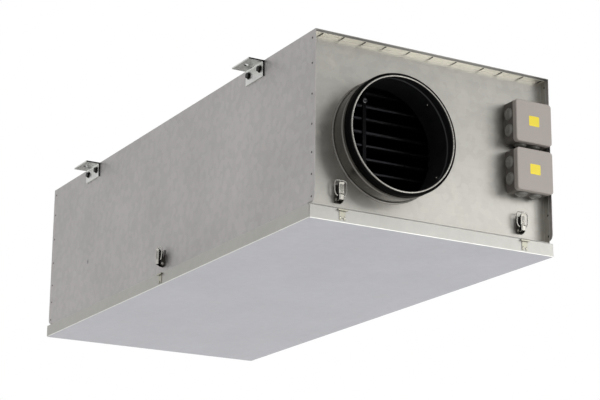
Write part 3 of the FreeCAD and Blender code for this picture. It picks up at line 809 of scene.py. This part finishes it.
@dataclass(frozen=True)
class Moulding:
    """A matt moulded or woven surface: plastic, rubber, card, wool or fleece."""

    name: str
    colour: Colour
    roughness: float = 0.55
    mottle: float = 0.06
    pore_scale: float = 900.0
    bump: float = 0.15
    wear: float = 0.15
    edge_wear_and_painted_light_colour: Colour = (205, 200, 194)
    edge_radius: float = 0.8
    gloss: float = 0.5
    sheen: float = 0.0

    def material(self) -> bpy.types.Material:
        """Builds the finish.

        Returns:
            The material.
        """
        material, tree = new_material(self.name)
        place = tree.place()
        marks = tree.group(effects.marks, {"Place": place})
        edge = tree.group(effects.edges, {"Place": place, "Radius": self.edge_radius * MM})
        pores = tree.noise(place, self.pore_scale, 3.0)
        clouds = tree.remap(marks.outputs["Clouds"], 0.25, 0.75, 1 - self.mottle, 1 + self.mottle)
        level = tree.math("MULTIPLY", tree.spread(pores, 1, self.mottle), clouds)
        colour = tree.shaded(linear(self.colour), level)
        colour = tree.edge_tinted(colour, edge, self.wear, self.edge_wear_and_painted_light_colour)
        rough = tree.spread(pores, self.roughness, 0.07)
        normal = tree.bumped(pores, self.bump, 0.0003, edge)
        finish_shader(tree, colour, rough, normal, 0.0, Sheen_Weight=self.sheen,
                      Specular_IOR_Level=self.gloss)
        return material


# Sub-assemblies

@dataclass
class Casing:
    """The casing's sheets and linings, the rivets along its lips and the clinched tabs."""

    half_width: float = 285.0
    half_length: float = 665.0
    top: float = 386.0
    side_sheet: float = 1.0
    top_sheets: float = 2.0
    rivet_heights: tuple[float, ...] = (370, 317, 253, 191, 133, 89, 44)
    rivet_setback: float = 12.5
    rivet_radius: float = 2.2
    rivet_head: float = 0.9
    rivet_tail: float = 1.6
    tab_places: tuple[float, ...] = (-261, -213, -163, -114, -57, -1, 57, 126, 173, 227, 275)
    tab_length: float = 15.0
    tab_half_width: float = 1.1
    tab_thickness: float = 0.9
    tab_setback: float = 18.0
    # Where the left sheet shows a dimple with painted shade.
    dimple: Spot = (-285.0, 430.0, 147.0)

    def build(self) -> None:
        """Dresses the sheets and adds the rivets and the tabs."""
        left = SheetMetal("left_side_sheet", colour=(170, 167, 166), streaks=0.035,
                          clouds=0.09, dimple=self.dimple)
        right = SheetMetal("right_side_sheet", colour=(170, 167, 166), streaks=0.035,
                           clouds=0.09)
        # The faces square to up, the flanges seen from below, get a pale colour: painted light.
        end = SheetMetal("end_sheet", colour=(162, 160, 154), grain=Grain.ACROSS,
                         facing=(UPRIGHT_WAY, (246, 243, 232)), roughness=0.33, mirror=0.88,
                         streaks=0.035, clouds=0.08, spangle=0.03, smudges=0.2)
        lid = SheetMetal("top_sheet", grain=Grain.LENGTHWISE)
        self._dress(left, "left_side_panel")
        self._dress(right, "right_side_panel")
        self._dress(end, "front_end_panel", "back_end_panel")
        self._dress(lid, "top_panel")
        wool = Moulding("mineral_wool_lining", (70, 70, 70), roughness=0.6, mottle=0.12,
                        edge_wear_and_painted_light_colour=(120, 120, 118))
        dark = Moulding("inner_sheet", (34, 34, 35), roughness=0.5, wear=0.0)
        self._dress(dark, "left_lining", "right_lining", "top_lining", "front_lining",
                    "back_lining")
        self._dress(wool, "cover_lining")
        self._rivets()
        self._tabs()

    def _dress(self, finish: SheetMetal | Moulding, *nodes: str) -> None:
        """Gives several nodes one finish.

        Args:
            finish: the finish.
            nodes: the nodes' names.
        """
        material = finish.material()
        for node in nodes:
            dress(node, material)

    def _rivets(self) -> None:
        """Blind rivets along the lips of both sides, at both ends, heads outward."""
        head = dome(self.rivet_radius, self.rivet_head, rim=0.25)
        tail = dome(self.rivet_radius * 1.15, self.rivet_tail, rim=1.0)
        # The rivet heads are a darker copy of the zinc: painted shade.
        steel = BrightFitting("rivet_painted_shade_zinc", colour=(84, 82, 80), roughness=0.45).material()
        for wall in (Wall.LEFT, Wall.RIGHT):
            for end in (-1, 1):
                along = end * (self.half_length - self.rivet_setback)
                face = wall.out * self.half_width
                outer = [(wall.axes() @ np.array([0, height, 0]) + face
                          + np.array([0, along, 0])) * MM for height in self.rivet_heights]
                inner_axes = wall.axes() @ np.diag([-1.0, 1.0, -1.0])
                inner = [spot - wall.out * self.side_sheet * MM for spot in outer]
                shape = joined([repeated(head, wall.axes(), outer),
                                repeated(tail, inner_axes, inner)])
                place = "front" if end < 0 else "back"
                make_piece(f"lip_rivets_{wall.name.lower()}_{place}", shape, steel)

    def _tabs(self) -> None:
        """Short clinched tabs under the top lip: each crosses the end panel's flange."""
        tab = rounded_slab(self.tab_half_width, self.tab_length / 2, self.tab_thickness,
                           radius=0.9, edge=0.3)
        # The tabs are a darker copy of the sheet, showing the shade round them: painted shade.
        steel = SheetMetal("tab_painted_shade_sheet", colour=(60, 58, 54), roughness=0.5, wear=0.0).material()
        for end, place in ((-1, "front"), (1, "back")):
            depth = end * (self.half_length - self.tab_setback)
            under = self.top - self.top_sheets
            spots = [np.array([x, depth, under]) * MM for x in self.tab_places]
            make_piece(f"top_lip_tabs_{place}", repeated(tab, DOWNWARD_AXES, spots), steel)


@dataclass
class ServiceCover:
    """The bottom cover: a smooth underside and rolled flanges."""

    def build(self) -> None:
        """Dresses the cover; a painted highlight lines its bends and strengthens the pale colour
        of its edges.
        """
        # bend: painted highlight along the bends; the pale edge colour is scuffed edges with
        # painted highlight; the bluish underside is the cover's own coat.
        finish = SheetMetal("cover_sheet", colour=(174, 173, 168), grain=Grain.LENGTHWISE,
                            facing=(UPRIGHT_WAY, (178, 178, 184)), bend=(232, 232, 228),
                            roughness=0.45, mirror=0.75, streaks=0.02, spangle=0.02,
                            clouds=0.05, smudges=0.14, wear=0.6,
                            edge_wear_and_painted_light_colour=(240, 240, 238), edge_radius=1.4)
        dress("service_cover", finish.material())


@dataclass
class DuctSpigot:
    """A duct nipple: a thin rolled tube with a foot ring, a stop bead, a rolled mouth and a
    rubber seal with two lips."""

    name: str
    wall: Wall
    along: float
    height: float = 187.0
    outer: float = 124.4
    sheet: float = 1.0
    shell_wall: float = 0.5
    bore_wall: float = 0.4
    inner_end: float = -30.0
    reach: float = 65.0
    bead_place: float = 35.0
    bead_height: float = 2.1
    bead_half: float = 3.2
    foot_radius: float = 127.8
    neck_start: float = 56.0
    neck_end: float = 62.5
    mouth_neck: float = 4.4
    ridge_height: float = 0.9
    ridge_half: float = 2.0
    rim_half: tuple[float, float] = (1.5, 1.1)
    seal_start: float = 43.5
    screw_radius: float = 1.6
    screw_reach: float = 3.2
    screw_turns: tuple[float, float] = (46.0, -31.0)
    screw_place: float = 22.0
    segments: int = 160

    def outer_radius(self, along: Array) -> Array:
        """The radius of the outer face: a plain tube, a bead that rises as a half wave, and a
        neck that falls as a quarter wave behind the mouth.

        Args:
            along: distances out of the panel, in mm.

        Returns:
            The radii there, in mm.
        """
        bead = np.clip((along - self.bead_place) / self.bead_half, -1, 1)
        rise = self.bead_height * np.cos(bead * math.pi / 2) ** 2
        near = np.clip((along - self.neck_start) / (self.neck_end - self.neck_start), 0, 1)
        return self.outer + rise - self.mouth_neck * (1 - np.cos(near * math.pi / 2))

    def shell(self) -> Surface:
        """The tube's outer face with its neck, closed by a wall inside the sheet.

        Returns:
            The surface, its axis along z.
        """
        along = np.linspace(self.inner_end, self.reach - self.rim_half[1], 150)
        outer = np.column_stack([self.outer_radius(along), along])
        back = np.column_stack([self.outer_radius(along) - self.shell_wall, along])[::-1]
        return revolved(np.vstack([outer, back]), self.segments, closed=True)

    def rim(self) -> Surface:
        """The rolled rim of the mouth: an oval section, wider across the mouth.

        Returns:
            The surface, its axis along z.
        """
        across, deep = self.rim_half
        turn = np.linspace(0, -2 * math.pi, 20, endpoint=False)
        middle = self.outer - self.mouth_neck - across * 0.6
        profile = np.column_stack([middle + across * np.cos(turn),
                                   self.reach - deep + deep * np.sin(turn)])
        return revolved(profile, self.segments, closed=True)

    def bore(self) -> Surface:
        """The tube's inner face, whose dark finish is painted shade, with a low ridge where the
        neck starts, and a wall inside the sheet.

        Returns:
            The surface, its axis along z.
        """
        along = np.linspace(self.inner_end, self.neck_end, 110)
        ridge = np.clip((along - self.neck_start + self.ridge_half) / self.ridge_half, -1, 1)
        rise = self.ridge_height * np.cos(ridge * math.pi / 2) ** 2
        inner = np.column_stack([self.outer_radius(along) - self.sheet - rise, along])
        back_radius = self.outer_radius(along) - self.sheet + self.bore_wall
        back = np.column_stack([back_radius, along])[::-1]
        return revolved(np.vstack([inner, back]), self.segments, closed=True)

    def foot(self) -> Surface:
        """The foot ring: flat on the panel, its edge eased and its root swept up the tube.

        Returns:
            The surface, its axis along z.
        """
        edge = self.outer - 0.2
        profile = np.array([
            [edge, 0.0], [self.foot_radius, 0.0], [self.foot_radius, 0.6],
            [self.foot_radius - 0.4, 1.0], [edge + 2.2, 1.2], [edge + 1.2, 1.8],
            [edge + 0.4, 3.0], [edge, 3.4],
        ])
        return revolved(profile, self.segments, closed=True)

    def seal(self) -> Surface:
        """The seal: a band with two lips that lean away from the mouth, and a front flange
        that covers the tube's neck.

        Returns:
            The surface, its axis along z.
        """
        base, start, end = self.outer, self.seal_start, self.neck_end
        flange = base - self.mouth_neck + 1.4
        profile = np.array([
            [base - 0.1, start], [base + 0.5, start], [base + 0.6, start + 3.0],
            [base + 1.2, start + 2.2], [base + 1.5, start + 2.8], [base + 0.8, start + 6.0],
            [base + 0.7, start + 9.0], [base + 1.4, start + 8.2], [base + 1.8, start + 8.8],
            [base + 1.7, start + 12.0], [base + 1.8, end - 2.4], [base + 1.4, end - 0.8],
            [base, end], [flange, end], [flange, end - 0.7], [base - 0.1, end - 2.5],
        ])
        return revolved(profile, self.segments, closed=True)

    def screws(self) -> Surface:
        """Two small screws whose ends stand inside the tube, right of the middle.

        Returns:
            The surface, the tube's axis along z.
        """
        end = dome(self.screw_radius, self.screw_reach, rim=self.screw_reach / 2, segments=12)
        ends = []
        for turn in map(math.radians, self.screw_turns):
            inward = -np.array([math.cos(turn), math.sin(turn), 0.0])
            side = np.array([-math.sin(turn), math.cos(turn), 0.0])
            axes = np.stack([side, np.cross(inward, side), inward], axis=1)
            spot = -inward * (self.outer - self.sheet) * MM
            spot[2] = self.screw_place * MM
            ends.append(end.placed(axes, spot))
        return joined(ends)

    def build(self, outside: bpy.types.Material, dark: bpy.types.Material,
              rubber: bpy.types.Material,
              steel: bpy.types.Material) -> tuple[bpy.types.Object, bpy.types.Object]:
        """Adds the nipple's pieces.

        Args:
            outside: the finish of the outside, darkened by painted shade.
            dark: the finish of the bore, near black by painted shade.
            rubber: the seal's finish.
            steel: the finish of the screws and the rim.

        Returns:
            The tube and the seal.
        """
        axes = self.wall.axes()
        spot = self.wall.spot(self.along, self.height)
        parts = (
            ("tube", joined([self.shell(), self.foot()]), outside, "galvanized_sheet"),
            ("rim", self.rim(), steel, "galvanized_sheet"),
            ("bore", self.bore(), dark, "galvanized_sheet"),
            ("lip_seal", self.seal(), rubber, "seal_rubber"),
            ("screw_ends", self.screws(), steel, "zinc_plated_steel"),
        )
        pieces = {
            part: make_piece(f"{self.name}_{part}", surface.placed(axes, spot), finish)
            for part, surface, finish, slot in parts
        }
        return pieces["tube"], pieces["lip_seal"]


def build_spigots() -> None:
    """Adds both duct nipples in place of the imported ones."""
    # The tube's sheet is a darker copy of the casing's zinc, and the bore near black: painted
    # shade.
    sheet = SheetMetal("spigot_painted_shade_sheet", colour=(96, 94, 90), grain=Grain.NONE,
                       roughness=0.22, mirror=0.97, clouds=0.08, spangle=0.03,
                       wear=0.15).material()
    dark = SheetMetal("spigot_bore_sheet", colour=(44, 44, 46), grain=Grain.NONE,
                      roughness=0.5, mirror=0.7, wear=0.0).material()
    rubber = Moulding("seal_black_rubber", (9, 9, 9), roughness=0.5, wear=0.0,
                      edge_radius=0.3, gloss=0.02).material()
    steel = BrightFitting("screw_zinc", colour=(150, 148, 142)).material()
    for spigot in (DuctSpigot("front_spigot", Wall.FRONT, -105.0),
                   DuctSpigot("back_spigot", Wall.BACK, 105.0)):
        tube, band = spigot.build(sheet, dark, rubber, steel)
        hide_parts("duct_spigots")
        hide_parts("spigot_seals")


@dataclass
class Heater:
    """The electric heater behind the outlet, and one bolt head on its support bar."""

    bolt_place: Spot = (-129.0, -595.0, 284.0)
    bolt_radius: float = 5.5

    def build(self) -> None:
        """Dresses the heater and adds the bolt."""
        dress("heater_frame", SheetMetal("heater_frame_sheet", colour=(36, 36, 37),
                                         roughness=0.5, mirror=1.0, wear=0.2).material())
        dress("heater_support_bars", SheetMetal(
            "heater_bar_sheet", colour=(22, 22, 23), roughness=0.45, mirror=1.0, wear=0.9,
            edge_wear_and_painted_light_colour=(84, 84, 86), edge_radius=0.7).material())
        rod = BrightFitting("heater_rod_steel", colour=(40, 40, 43), roughness=0.32,
                            mottle=0.25).material()
        dress("heater_rods", rod)
        head = revolved(np.array([[0.0, 0.0], [self.bolt_radius, 0.0],
                                  [self.bolt_radius, 2.6], [self.bolt_radius - 0.8, 3.2],
                                  [2.6, 3.2], [2.4, 2.0], [0.0, 2.0]]), 24)
        make_piece("heater_bolt_head",
                   head.placed(Wall.FRONT.axes(), np.array(self.bolt_place) * MM),
                   BrightFitting("heater_bolt_zinc", colour=(110, 110, 112)).material())


@dataclass
class InletFilter:
    """The pleated filter behind the inlet."""

    def build(self) -> None:
        """Dresses the filter."""
        card = Moulding("filter_card_board", (150, 139, 118), roughness=0.8, mottle=0.08,
                        pore_scale=500.0, bump=0.3)
        fleece = Moulding("filter_white_fleece", (218, 217, 210), roughness=0.9, mottle=0.08,
                          pore_scale=1400.0, bump=0.6, sheen=0.3)
        dress("filter_frame", card.material())
        dress("filter_media", fleece.material())


@dataclass
class JunctionBoxes:
    """Two moulded boxes, each with a blank yellow sticker and four rubber membranes."""

    middle_x: float = 232.5
    heights: tuple[float, float] = (276.0, 171.5)
    panel: float = 639.0
    half_side: float = 45.5
    depth: float = 42.0
    membrane_radius: float = 13.4
    membrane_rise: float = 5.2
    membrane_spacing: float = 35.0
    membrane_setback: float = 15.5
    sticker_half: tuple[float, float] = (13.0, 11.0)
    sticker_rise: float = 2.0
    sticker_thickness: float = 0.15

    def membrane(self) -> Surface:
        """A membrane: a rim step, a groove and a dome with a small nipple in its middle.

        Returns:
            The surface, its axis along z.
        """
        radius = self.membrane_radius
        rim = np.array([
            [0.0, 0.0], [radius, 0.0], [radius, 0.9], [radius - 0.5, 1.3], [radius - 1.2, 1.3],
        ])
        turn = np.linspace(0.12, 1.3, 12)
        swell = np.column_stack([(radius - 1.4) * np.cos(turn),
                                 1.0 + self.membrane_rise * np.sin(turn)])
        top = 1.0 + self.membrane_rise
        nipple = np.array([[2.6, top + 0.2], [2.2, top + 0.9], [1.2, top + 1.1],
                           [0.0, top + 1.2]])
        return revolved(np.vstack([rim, swell, nipple]), 40)

    def build(self) -> None:
        """Dresses the boxes and adds membranes and stickers."""
        plastic = Moulding("box_grey_plastic", (168, 160, 154), roughness=0.5,
                           mottle=0.03).material()
        rubber = Moulding("membrane_grey_rubber", (112, 111, 106), roughness=0.3, wear=0.1,
                          edge_wear_and_painted_light_colour=(130, 129, 125)).material()
        vinyl = Moulding("sticker_yellow_vinyl", (244, 222, 46), roughness=0.35, mottle=0.03,
                         edge_wear_and_painted_light_colour=(240, 226, 130), edge_radius=0.2).material()
        # The bases are a darker copy of the lid plastic: painted shade.
        shaded = Moulding("box_base_grey_plastic", (92, 88, 84), roughness=0.5,
                          mottle=0.03, gloss=0.2).material()
        for level in ("upper", "lower"):
            dress(f"{level}_box_lid", plastic)
            dress(f"{level}_box_base", shaded)
        y = -(self.panel + self.membrane_setback)
        left_axes = Wall.LEFT.axes()
        shapes = []
        for height in self.heights:
            for side in (-1, 1):
                aside = side * self.membrane_spacing / 2
                left = np.array([self.middle_x - self.half_side, y, height + aside]) * MM
                under = np.array([self.middle_x + aside, y, height - self.half_side]) * MM
                shapes.append(self.membrane().placed(left_axes, left))
                shapes.append(self.membrane().placed(DOWNWARD_AXES, under))
        domes = make_piece("domed_membranes", joined(shapes), rubber)
        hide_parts("box_membranes")
        sticker = rounded_slab(*self.sticker_half, self.sticker_thickness, radius=2.0)
        front = Wall.FRONT
        for name, height in zip(("upper", "lower"), self.heights):
            spot = front.spot(self.middle_x, height + self.sticker_rise, self.depth)
            make_piece(f"{name}_box_sticker", sticker.placed(front.axes(), spot), vinyl)


@dataclass
class DrawLatch:
    """A draw latch: its smooth wire bail, pin heads, rivets and its keeper's rivets."""

    name: str
    wall: Wall
    along: float = 0.0
    bail_inner: float = 4.5
    bail_neck: float = 9.85
    bail_half: float = 13.6
    bail_pivot: float = 56.0
    bail_shoulder: float = 63.0
    bail_top: float = 87.0
    bail_standoff: float = 12.0
    wire: float = 1.25
    pin_height: float = 48.5
    pin_standoff: float = 6.0
    ear_outside: float = 7.1
    pin_head_radius: float = 3.0
    base_top: float = 80.0
    base_sheet: float = 1.2
    base_rivet_radius: float = 2.2
    base_rivet_below_top: float = 4.0
    rib_spacing: float = 1.6
    rib_middle: float = 69.5
    rib_half_length: float = 8.5
    rib_half_width: float = 0.4
    rib_height: float = 0.5
    handle_standoff: float = 15.0
    keeper_sheet: float = 1.2
    keeper_rivet_radius: float = 1.9
    keeper_rivet_aside: float = 4.6
    keeper_rivet_height: float = 10.5

    def bail(self) -> Surface:
        """The bail: a wire along a loop that starts and ends in the lever's cheeks.

        Returns:
            The surface in the latch's own axes: along the wall, up and out.
        """
        right = np.array([
            [self.bail_inner, self.bail_pivot], [self.bail_neck, self.bail_pivot],
            [self.bail_half, self.bail_shoulder], [self.bail_half, self.bail_top],
        ])
        left = right[::-1] * np.array([-1, 1])
        bends = np.array([1.5, 4.0, 8.0, 8.0, 4.0, 1.5])[:, None]
        flat = eased_path(np.vstack([right, left]), bends, 10)
        path = np.column_stack([flat, np.full(len(flat), self.bail_standoff)]) * MM
        return swept_wire(path, np.array([0.0, 0.0, 1.0]), self.wire * MM)

    def fixings(self) -> Surface:
        """The pin's two heads beside the ears and one rivet at the top of the base.

        Returns:
            The surface in the latch's own axes: along the wall, up and out.
        """
        head = dome(self.pin_head_radius, 1.0, rim=0.3, segments=16)
        right = np.array([[0.0, 0.0, 1.0], [1.0, 0.0, 0.0], [0.0, 1.0, 0.0]])
        left = np.array([[0.0, 0.0, -1.0], [-1.0, 0.0, 0.0], [0.0, 1.0, 0.0]])
        spot = np.array([self.ear_outside, self.pin_height, self.pin_standoff])
        rivet = dome(self.base_rivet_radius, 1.0, rim=0.3, segments=16)
        rivet_spot = np.array([0, self.base_top - self.base_rivet_below_top, self.base_sheet])
        return joined([
            head.placed(right, spot * MM),
            head.placed(left, spot * np.array([-1, 1, 1]) * MM),
            rivet.placed(np.eye(3), rivet_spot * MM),
        ])

    def ribs(self) -> Surface:
        """Five low grip ribs along the lever's handle.

        Returns:
            The surface in the latch's own axes: along the wall, up and out.
        """
        rib = rounded_slab(self.rib_half_width, self.rib_half_length, self.rib_height,
                           radius=0.4, edge=0.2)
        spots = [np.array([step * self.rib_spacing, self.rib_middle, self.handle_standoff]) * MM
                 for step in range(-2, 3)]
        return repeated(rib, np.eye(3), spots)

    def build(self, bright: bpy.types.Material, lever: bpy.types.Material,
              cover_out: float) -> None:
        """Adds the latch's pieces and dresses its packed lever.

        Args:
            bright: the plated finish.
            lever: the lever's finish, with painted shade on its cheeks.
            cover_out: how far the cover's flange stands out of this wall, in mm.
        """
        axes = self.wall.axes()
        spot = self.wall.spot(self.along, 0.0)
        bail = make_piece(f"wire_bail_{self.name}", self.bail().placed(axes, spot), bright,
                          body=f"bail_{self.name}")
        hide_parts(f"latch_bail_{self.name}")
        dress(f"latch_lever_{self.name}", lever)
        make_piece(f"lever_ribs_{self.name}", self.ribs().placed(axes, spot), bright,
                   body=f"lever_{self.name}")
        make_piece(f"latch_fixings_{self.name}", self.fixings().placed(axes, spot), bright)
        rivet = dome(self.keeper_rivet_radius, 0.8, rim=0.2, segments=14)
        spots = [self.wall.spot(self.along + side * self.keeper_rivet_aside,
                                self.keeper_rivet_height, cover_out + self.keeper_sheet)
                 for side in (-1, 1)]
        make_piece(f"keeper_rivets_{self.name}", repeated(rivet, axes, spots), bright)


def build_latches() -> None:
    """Adds the six latches and dresses their bases and keepers. The cover's flange stands
    further out of the ends than out of the sides."""
    side_cover_out, end_cover_out = 7.0, 17.5
    bright = BrightFitting("latch_bright_zinc", colour=(168, 166, 160),
                           roughness=0.2).material()
    # The bases are a darker copy of the plated zinc: painted shade.
    base_shade_zinc = BrightFitting("latch_base_painted_shade_zinc", colour=(64, 62, 58), roughness=0.4).material()
    # Keeper: the faces square to up, under the hook, carry painted shade, and its dark edge colour
    # is painted shade along the edges.
    plain = SheetMetal("latch_keeper_zinc", colour=(166, 164, 150), grain=Grain.NONE,
                       roughness=0.35, wear=0.9, edge_wear_and_painted_light_colour=(96, 93, 78), edge_radius=0.5,
                       facing=(UPRIGHT_WAY, (34, 32, 26))).material()
    # Levers: the cheeks, square to the given way, carry painted shade; the pale edge colour is
    # scuffed plating strengthened as painted highlight.
    levers = {
        way: SheetMetal(f"lever_zinc_{name}", colour=(176, 174, 166), grain=Grain.NONE,
                        roughness=0.24, mirror=0.95, wear=0.8, edge_radius=0.35,
                        facing=(way, (26, 25, 23))).material()
        for name, way in (("crosswise", CROSSWISE_WAY), ("endwise", ENDWISE_WAY))
    }
    dress("latch_bases", base_shade_zinc)
    dress("latch_keepers", plain)
    latches = (
        DrawLatch("front_left", Wall.FRONT, -218.0), DrawLatch("front_right", Wall.FRONT, 218.0),
        DrawLatch("right", Wall.RIGHT), DrawLatch("back_right", Wall.BACK, -218.0),
        DrawLatch("back_left", Wall.BACK, 218.0), DrawLatch("left", Wall.LEFT),
    )
    for latch in latches:
        long_wall = latch.wall in (Wall.LEFT, Wall.RIGHT)
        lever = levers[ENDWISE_WAY if long_wall else CROSSWISE_WAY]
        latch.build(bright, lever, side_cover_out if long_wall else end_cover_out)


@dataclass
class Hangers:
    """The four hanger brackets, their bolts and a washer under each bolt head."""

    bracket_middle: float = 417.0
    bolt_offset: float = 24.0
    bolt_height: float = 370.0
    bracket_sheet: float = 3.0
    washer_hole: float = 3.2
    washer_radius: float = 8.0

    def build(self) -> None:
        """Dresses brackets and bolts and adds the washers."""
        # The brackets' end faces, square to their length, are near black: painted shade.
        bracket = SheetMetal("bracket_sheet", colour=(206, 207, 204), grain=Grain.LENGTHWISE,
                             roughness=0.4, clouds=0.15, wear=0.3,
                             facing=(ENDWISE_WAY, (18, 18, 18)))
        dress("hanger_brackets", bracket.material())
        dark = BrightFitting("bolt_dark_steel", colour=(34, 33, 32), roughness=0.38).material()
        dress("hanger_bolts", dark)
        hole, radius = self.washer_hole, self.washer_radius
        profile = np.array([[hole, 0.0], [radius, 0.0], [radius, 0.9], [radius - 0.4, 1.2],
                            [hole, 1.2]])
        washer = revolved(profile, 28, closed=True)
        for wall in (Wall.LEFT, Wall.RIGHT):
            spots = [
                wall.spot(end * self.bracket_middle + side * self.bolt_offset,
                          self.bolt_height, self.bracket_sheet)
                for end in (-1, 1) for side in (-1, 1)
            ]
            make_piece(f"bolt_washers_{wall.name.lower()}",
                       repeated(washer, wall.axes(), spots), dark)


# Camera and studio

@dataclass(frozen=True)
class PhotoCamera:
    """The camera that saw the unit from below, in front and to the left."""

    azimuth: float = -0.518264908
    elevation: float = -0.281588890
    roll: float = 0.009360733
    place: Spot = (-1.9775, -3.5768, -0.9411)
    lens: float = 109.84
    sensor: float = 36.0

    def build(self) -> None:
        """Adds the camera and makes it the scene's own."""
        flat = math.cos(self.elevation)
        back = Vector((math.sin(self.azimuth) * flat, -math.cos(self.azimuth) * flat,
                       math.sin(self.elevation)))
        right = Vector((0, 0, 1)).cross(back).normalized()
        up = back.cross(right)
        rolled_right = right * math.cos(self.roll) + up * math.sin(self.roll)
        rolled_up = up * math.cos(self.roll) - right * math.sin(self.roll)
        data = bpy.data.cameras.new("photo_camera")
        data.lens = self.lens
        data.sensor_width = self.sensor
        data.sensor_fit = "HORIZONTAL"
        camera = bpy.data.objects.new("photo_camera", data)
        turn = Matrix((rolled_right, rolled_up, back)).transposed()
        camera.matrix_world = Matrix.Translation(self.place) @ turn.to_4x4()
        bpy.context.scene.collection.objects.link(camera)
        bpy.context.scene.camera = camera


@dataclass(frozen=True)
class Softbox:
    """A square softbox: where it stands, the point it faces, its side in metres and its power
    in watts."""

    name: str
    place: Spot
    aim: Spot
    size: float
    power: float

    def build(self) -> None:
        """Adds the softbox."""
        light = bpy.data.lights.new(self.name, "AREA")
        light.shape = "SQUARE"
        light.size = self.size
        light.energy = self.power
        box = bpy.data.objects.new(self.name, light)
        box.rotation_mode = "QUATERNION"
        way = Vector(self.aim) - Vector(self.place)
        box.rotation_quaternion = way.to_track_quat("-Z", "Y")
        box.location = self.place
        bpy.context.scene.collection.objects.link(box)


@dataclass(frozen=True)
class Studio:
    """A pale floor far below the hanging unit, three softboxes and a white surround."""

    floor_height: float = -1.25
    floor_half: float = 14.0
    floor_glow: float = 0.7
    key: Softbox = Softbox("key_softbox", (2.6, -2.6, 0.75), (0.1, -0.64, 0.1), 0.8, 11.0)
    glow: Softbox = Softbox("glow_softbox", (1.05, -2.3, 0.25), (0.1, -0.64, 0.1), 0.8, 2.8)
    fill: Softbox = Softbox("fill_softbox", (1.0, -2.1, -0.85), (0.1, -0.64, 0.2), 0.9, 8.0)
    left_level: float = 0.05
    right_level: float = 0.95
    light_from: Spot = (0.6, -0.75, 0.0)

    def build(self) -> None:
        """Adds the floor, the softboxes and the surround."""
        self._floor()
        for softbox in (self.key, self.glow, self.fill):
            softbox.build()
        self._surround()
        bpy.context.scene.view_settings.view_transform = "Standard"

    def _floor(self) -> None:
        """A floor that keeps the unit's shadow and looks nearly white to the camera, in
        mirrors and through glass."""
        half = self.floor_half
        corners = [(-half, -half, self.floor_height), (half, -half, self.floor_height),
                   (half, half, self.floor_height), (-half, half, self.floor_height)]
        mesh = bpy.data.meshes.new("studio_floor")
        mesh.from_pydata(corners, [], [(0, 1, 2, 3)])
        floor = bpy.data.objects.new("studio_floor", mesh)
        bpy.context.scene.collection.objects.link(floor)
        floor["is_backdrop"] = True
        material, tree = new_material("floor_pale")
        tone = tree.remap(tree.noise(tree.place(), 0.7, 2.0), 0.3, 0.7, 0.97, 1.0)
        colour = tree.shaded(linear((236, 236, 234)), tone)
        shader = tree.add("ShaderNodeBsdfPrincipled", {
            "Base Color": colour, "Roughness": 0.8, "Emission Color": (1, 1, 1, 1),
            "Emission Strength": tree.math("MULTIPLY", tree.seen(), self.floor_glow)})
        tree.add("ShaderNodeOutputMaterial", {"Surface": shader.outputs[0]})
        mesh.materials.append(material)

    def _surround(self) -> None:
        """White to the camera, to mirrors and through glass. For everything else a plain
        level that is lower on the left."""
        world = bpy.data.worlds.new("studio_surround")
        world.use_nodes = True
        bpy.context.scene.world = world
        tree = Tree(world.node_tree)
        way = tree.add("ShaderNodeTexCoord").outputs["Generated"]
        toward = Vector(self.light_from).normalized()
        lean = tree.vector("DOT_PRODUCT", way, tuple(toward)).outputs["Value"]
        level = tree.remap(lean, -0.9, 0.9, self.left_level, self.right_level)
        seen = tree.seen()
        plain = tree.math("MULTIPLY", level, tree.math("SUBTRACT", 1.0, seen))
        strength = tree.math("ADD", plain, seen)
        background = tree.add("ShaderNodeBackground", {"Color": (1, 1, 1, 1),
                                                       "Strength": strength})
        tree.add("ShaderNodeOutputWorld", {"Surface": background.outputs[0]})


def main() -> None:
    """Builds the unit's sub-assemblies in order, then the camera and the studio."""
    logging.basicConfig(level=logging.INFO, format="%(message)s")
    steps = (
        ("casing", Casing().build), ("service cover", ServiceCover().build),
        ("duct spigots", build_spigots), ("heater", Heater().build),
        ("inlet filter", InletFilter().build), ("junction boxes", JunctionBoxes().build),
        ("draw latches", build_latches), ("hangers", Hangers().build),
        ("camera", PhotoCamera().build), ("studio", Studio().build),
    )
    for name, build in steps:
        build()
        log.info("built %s", name)
    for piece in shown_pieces():
        log.info("piece %s", piece.name)


if __name__ == "__main__":
    main()
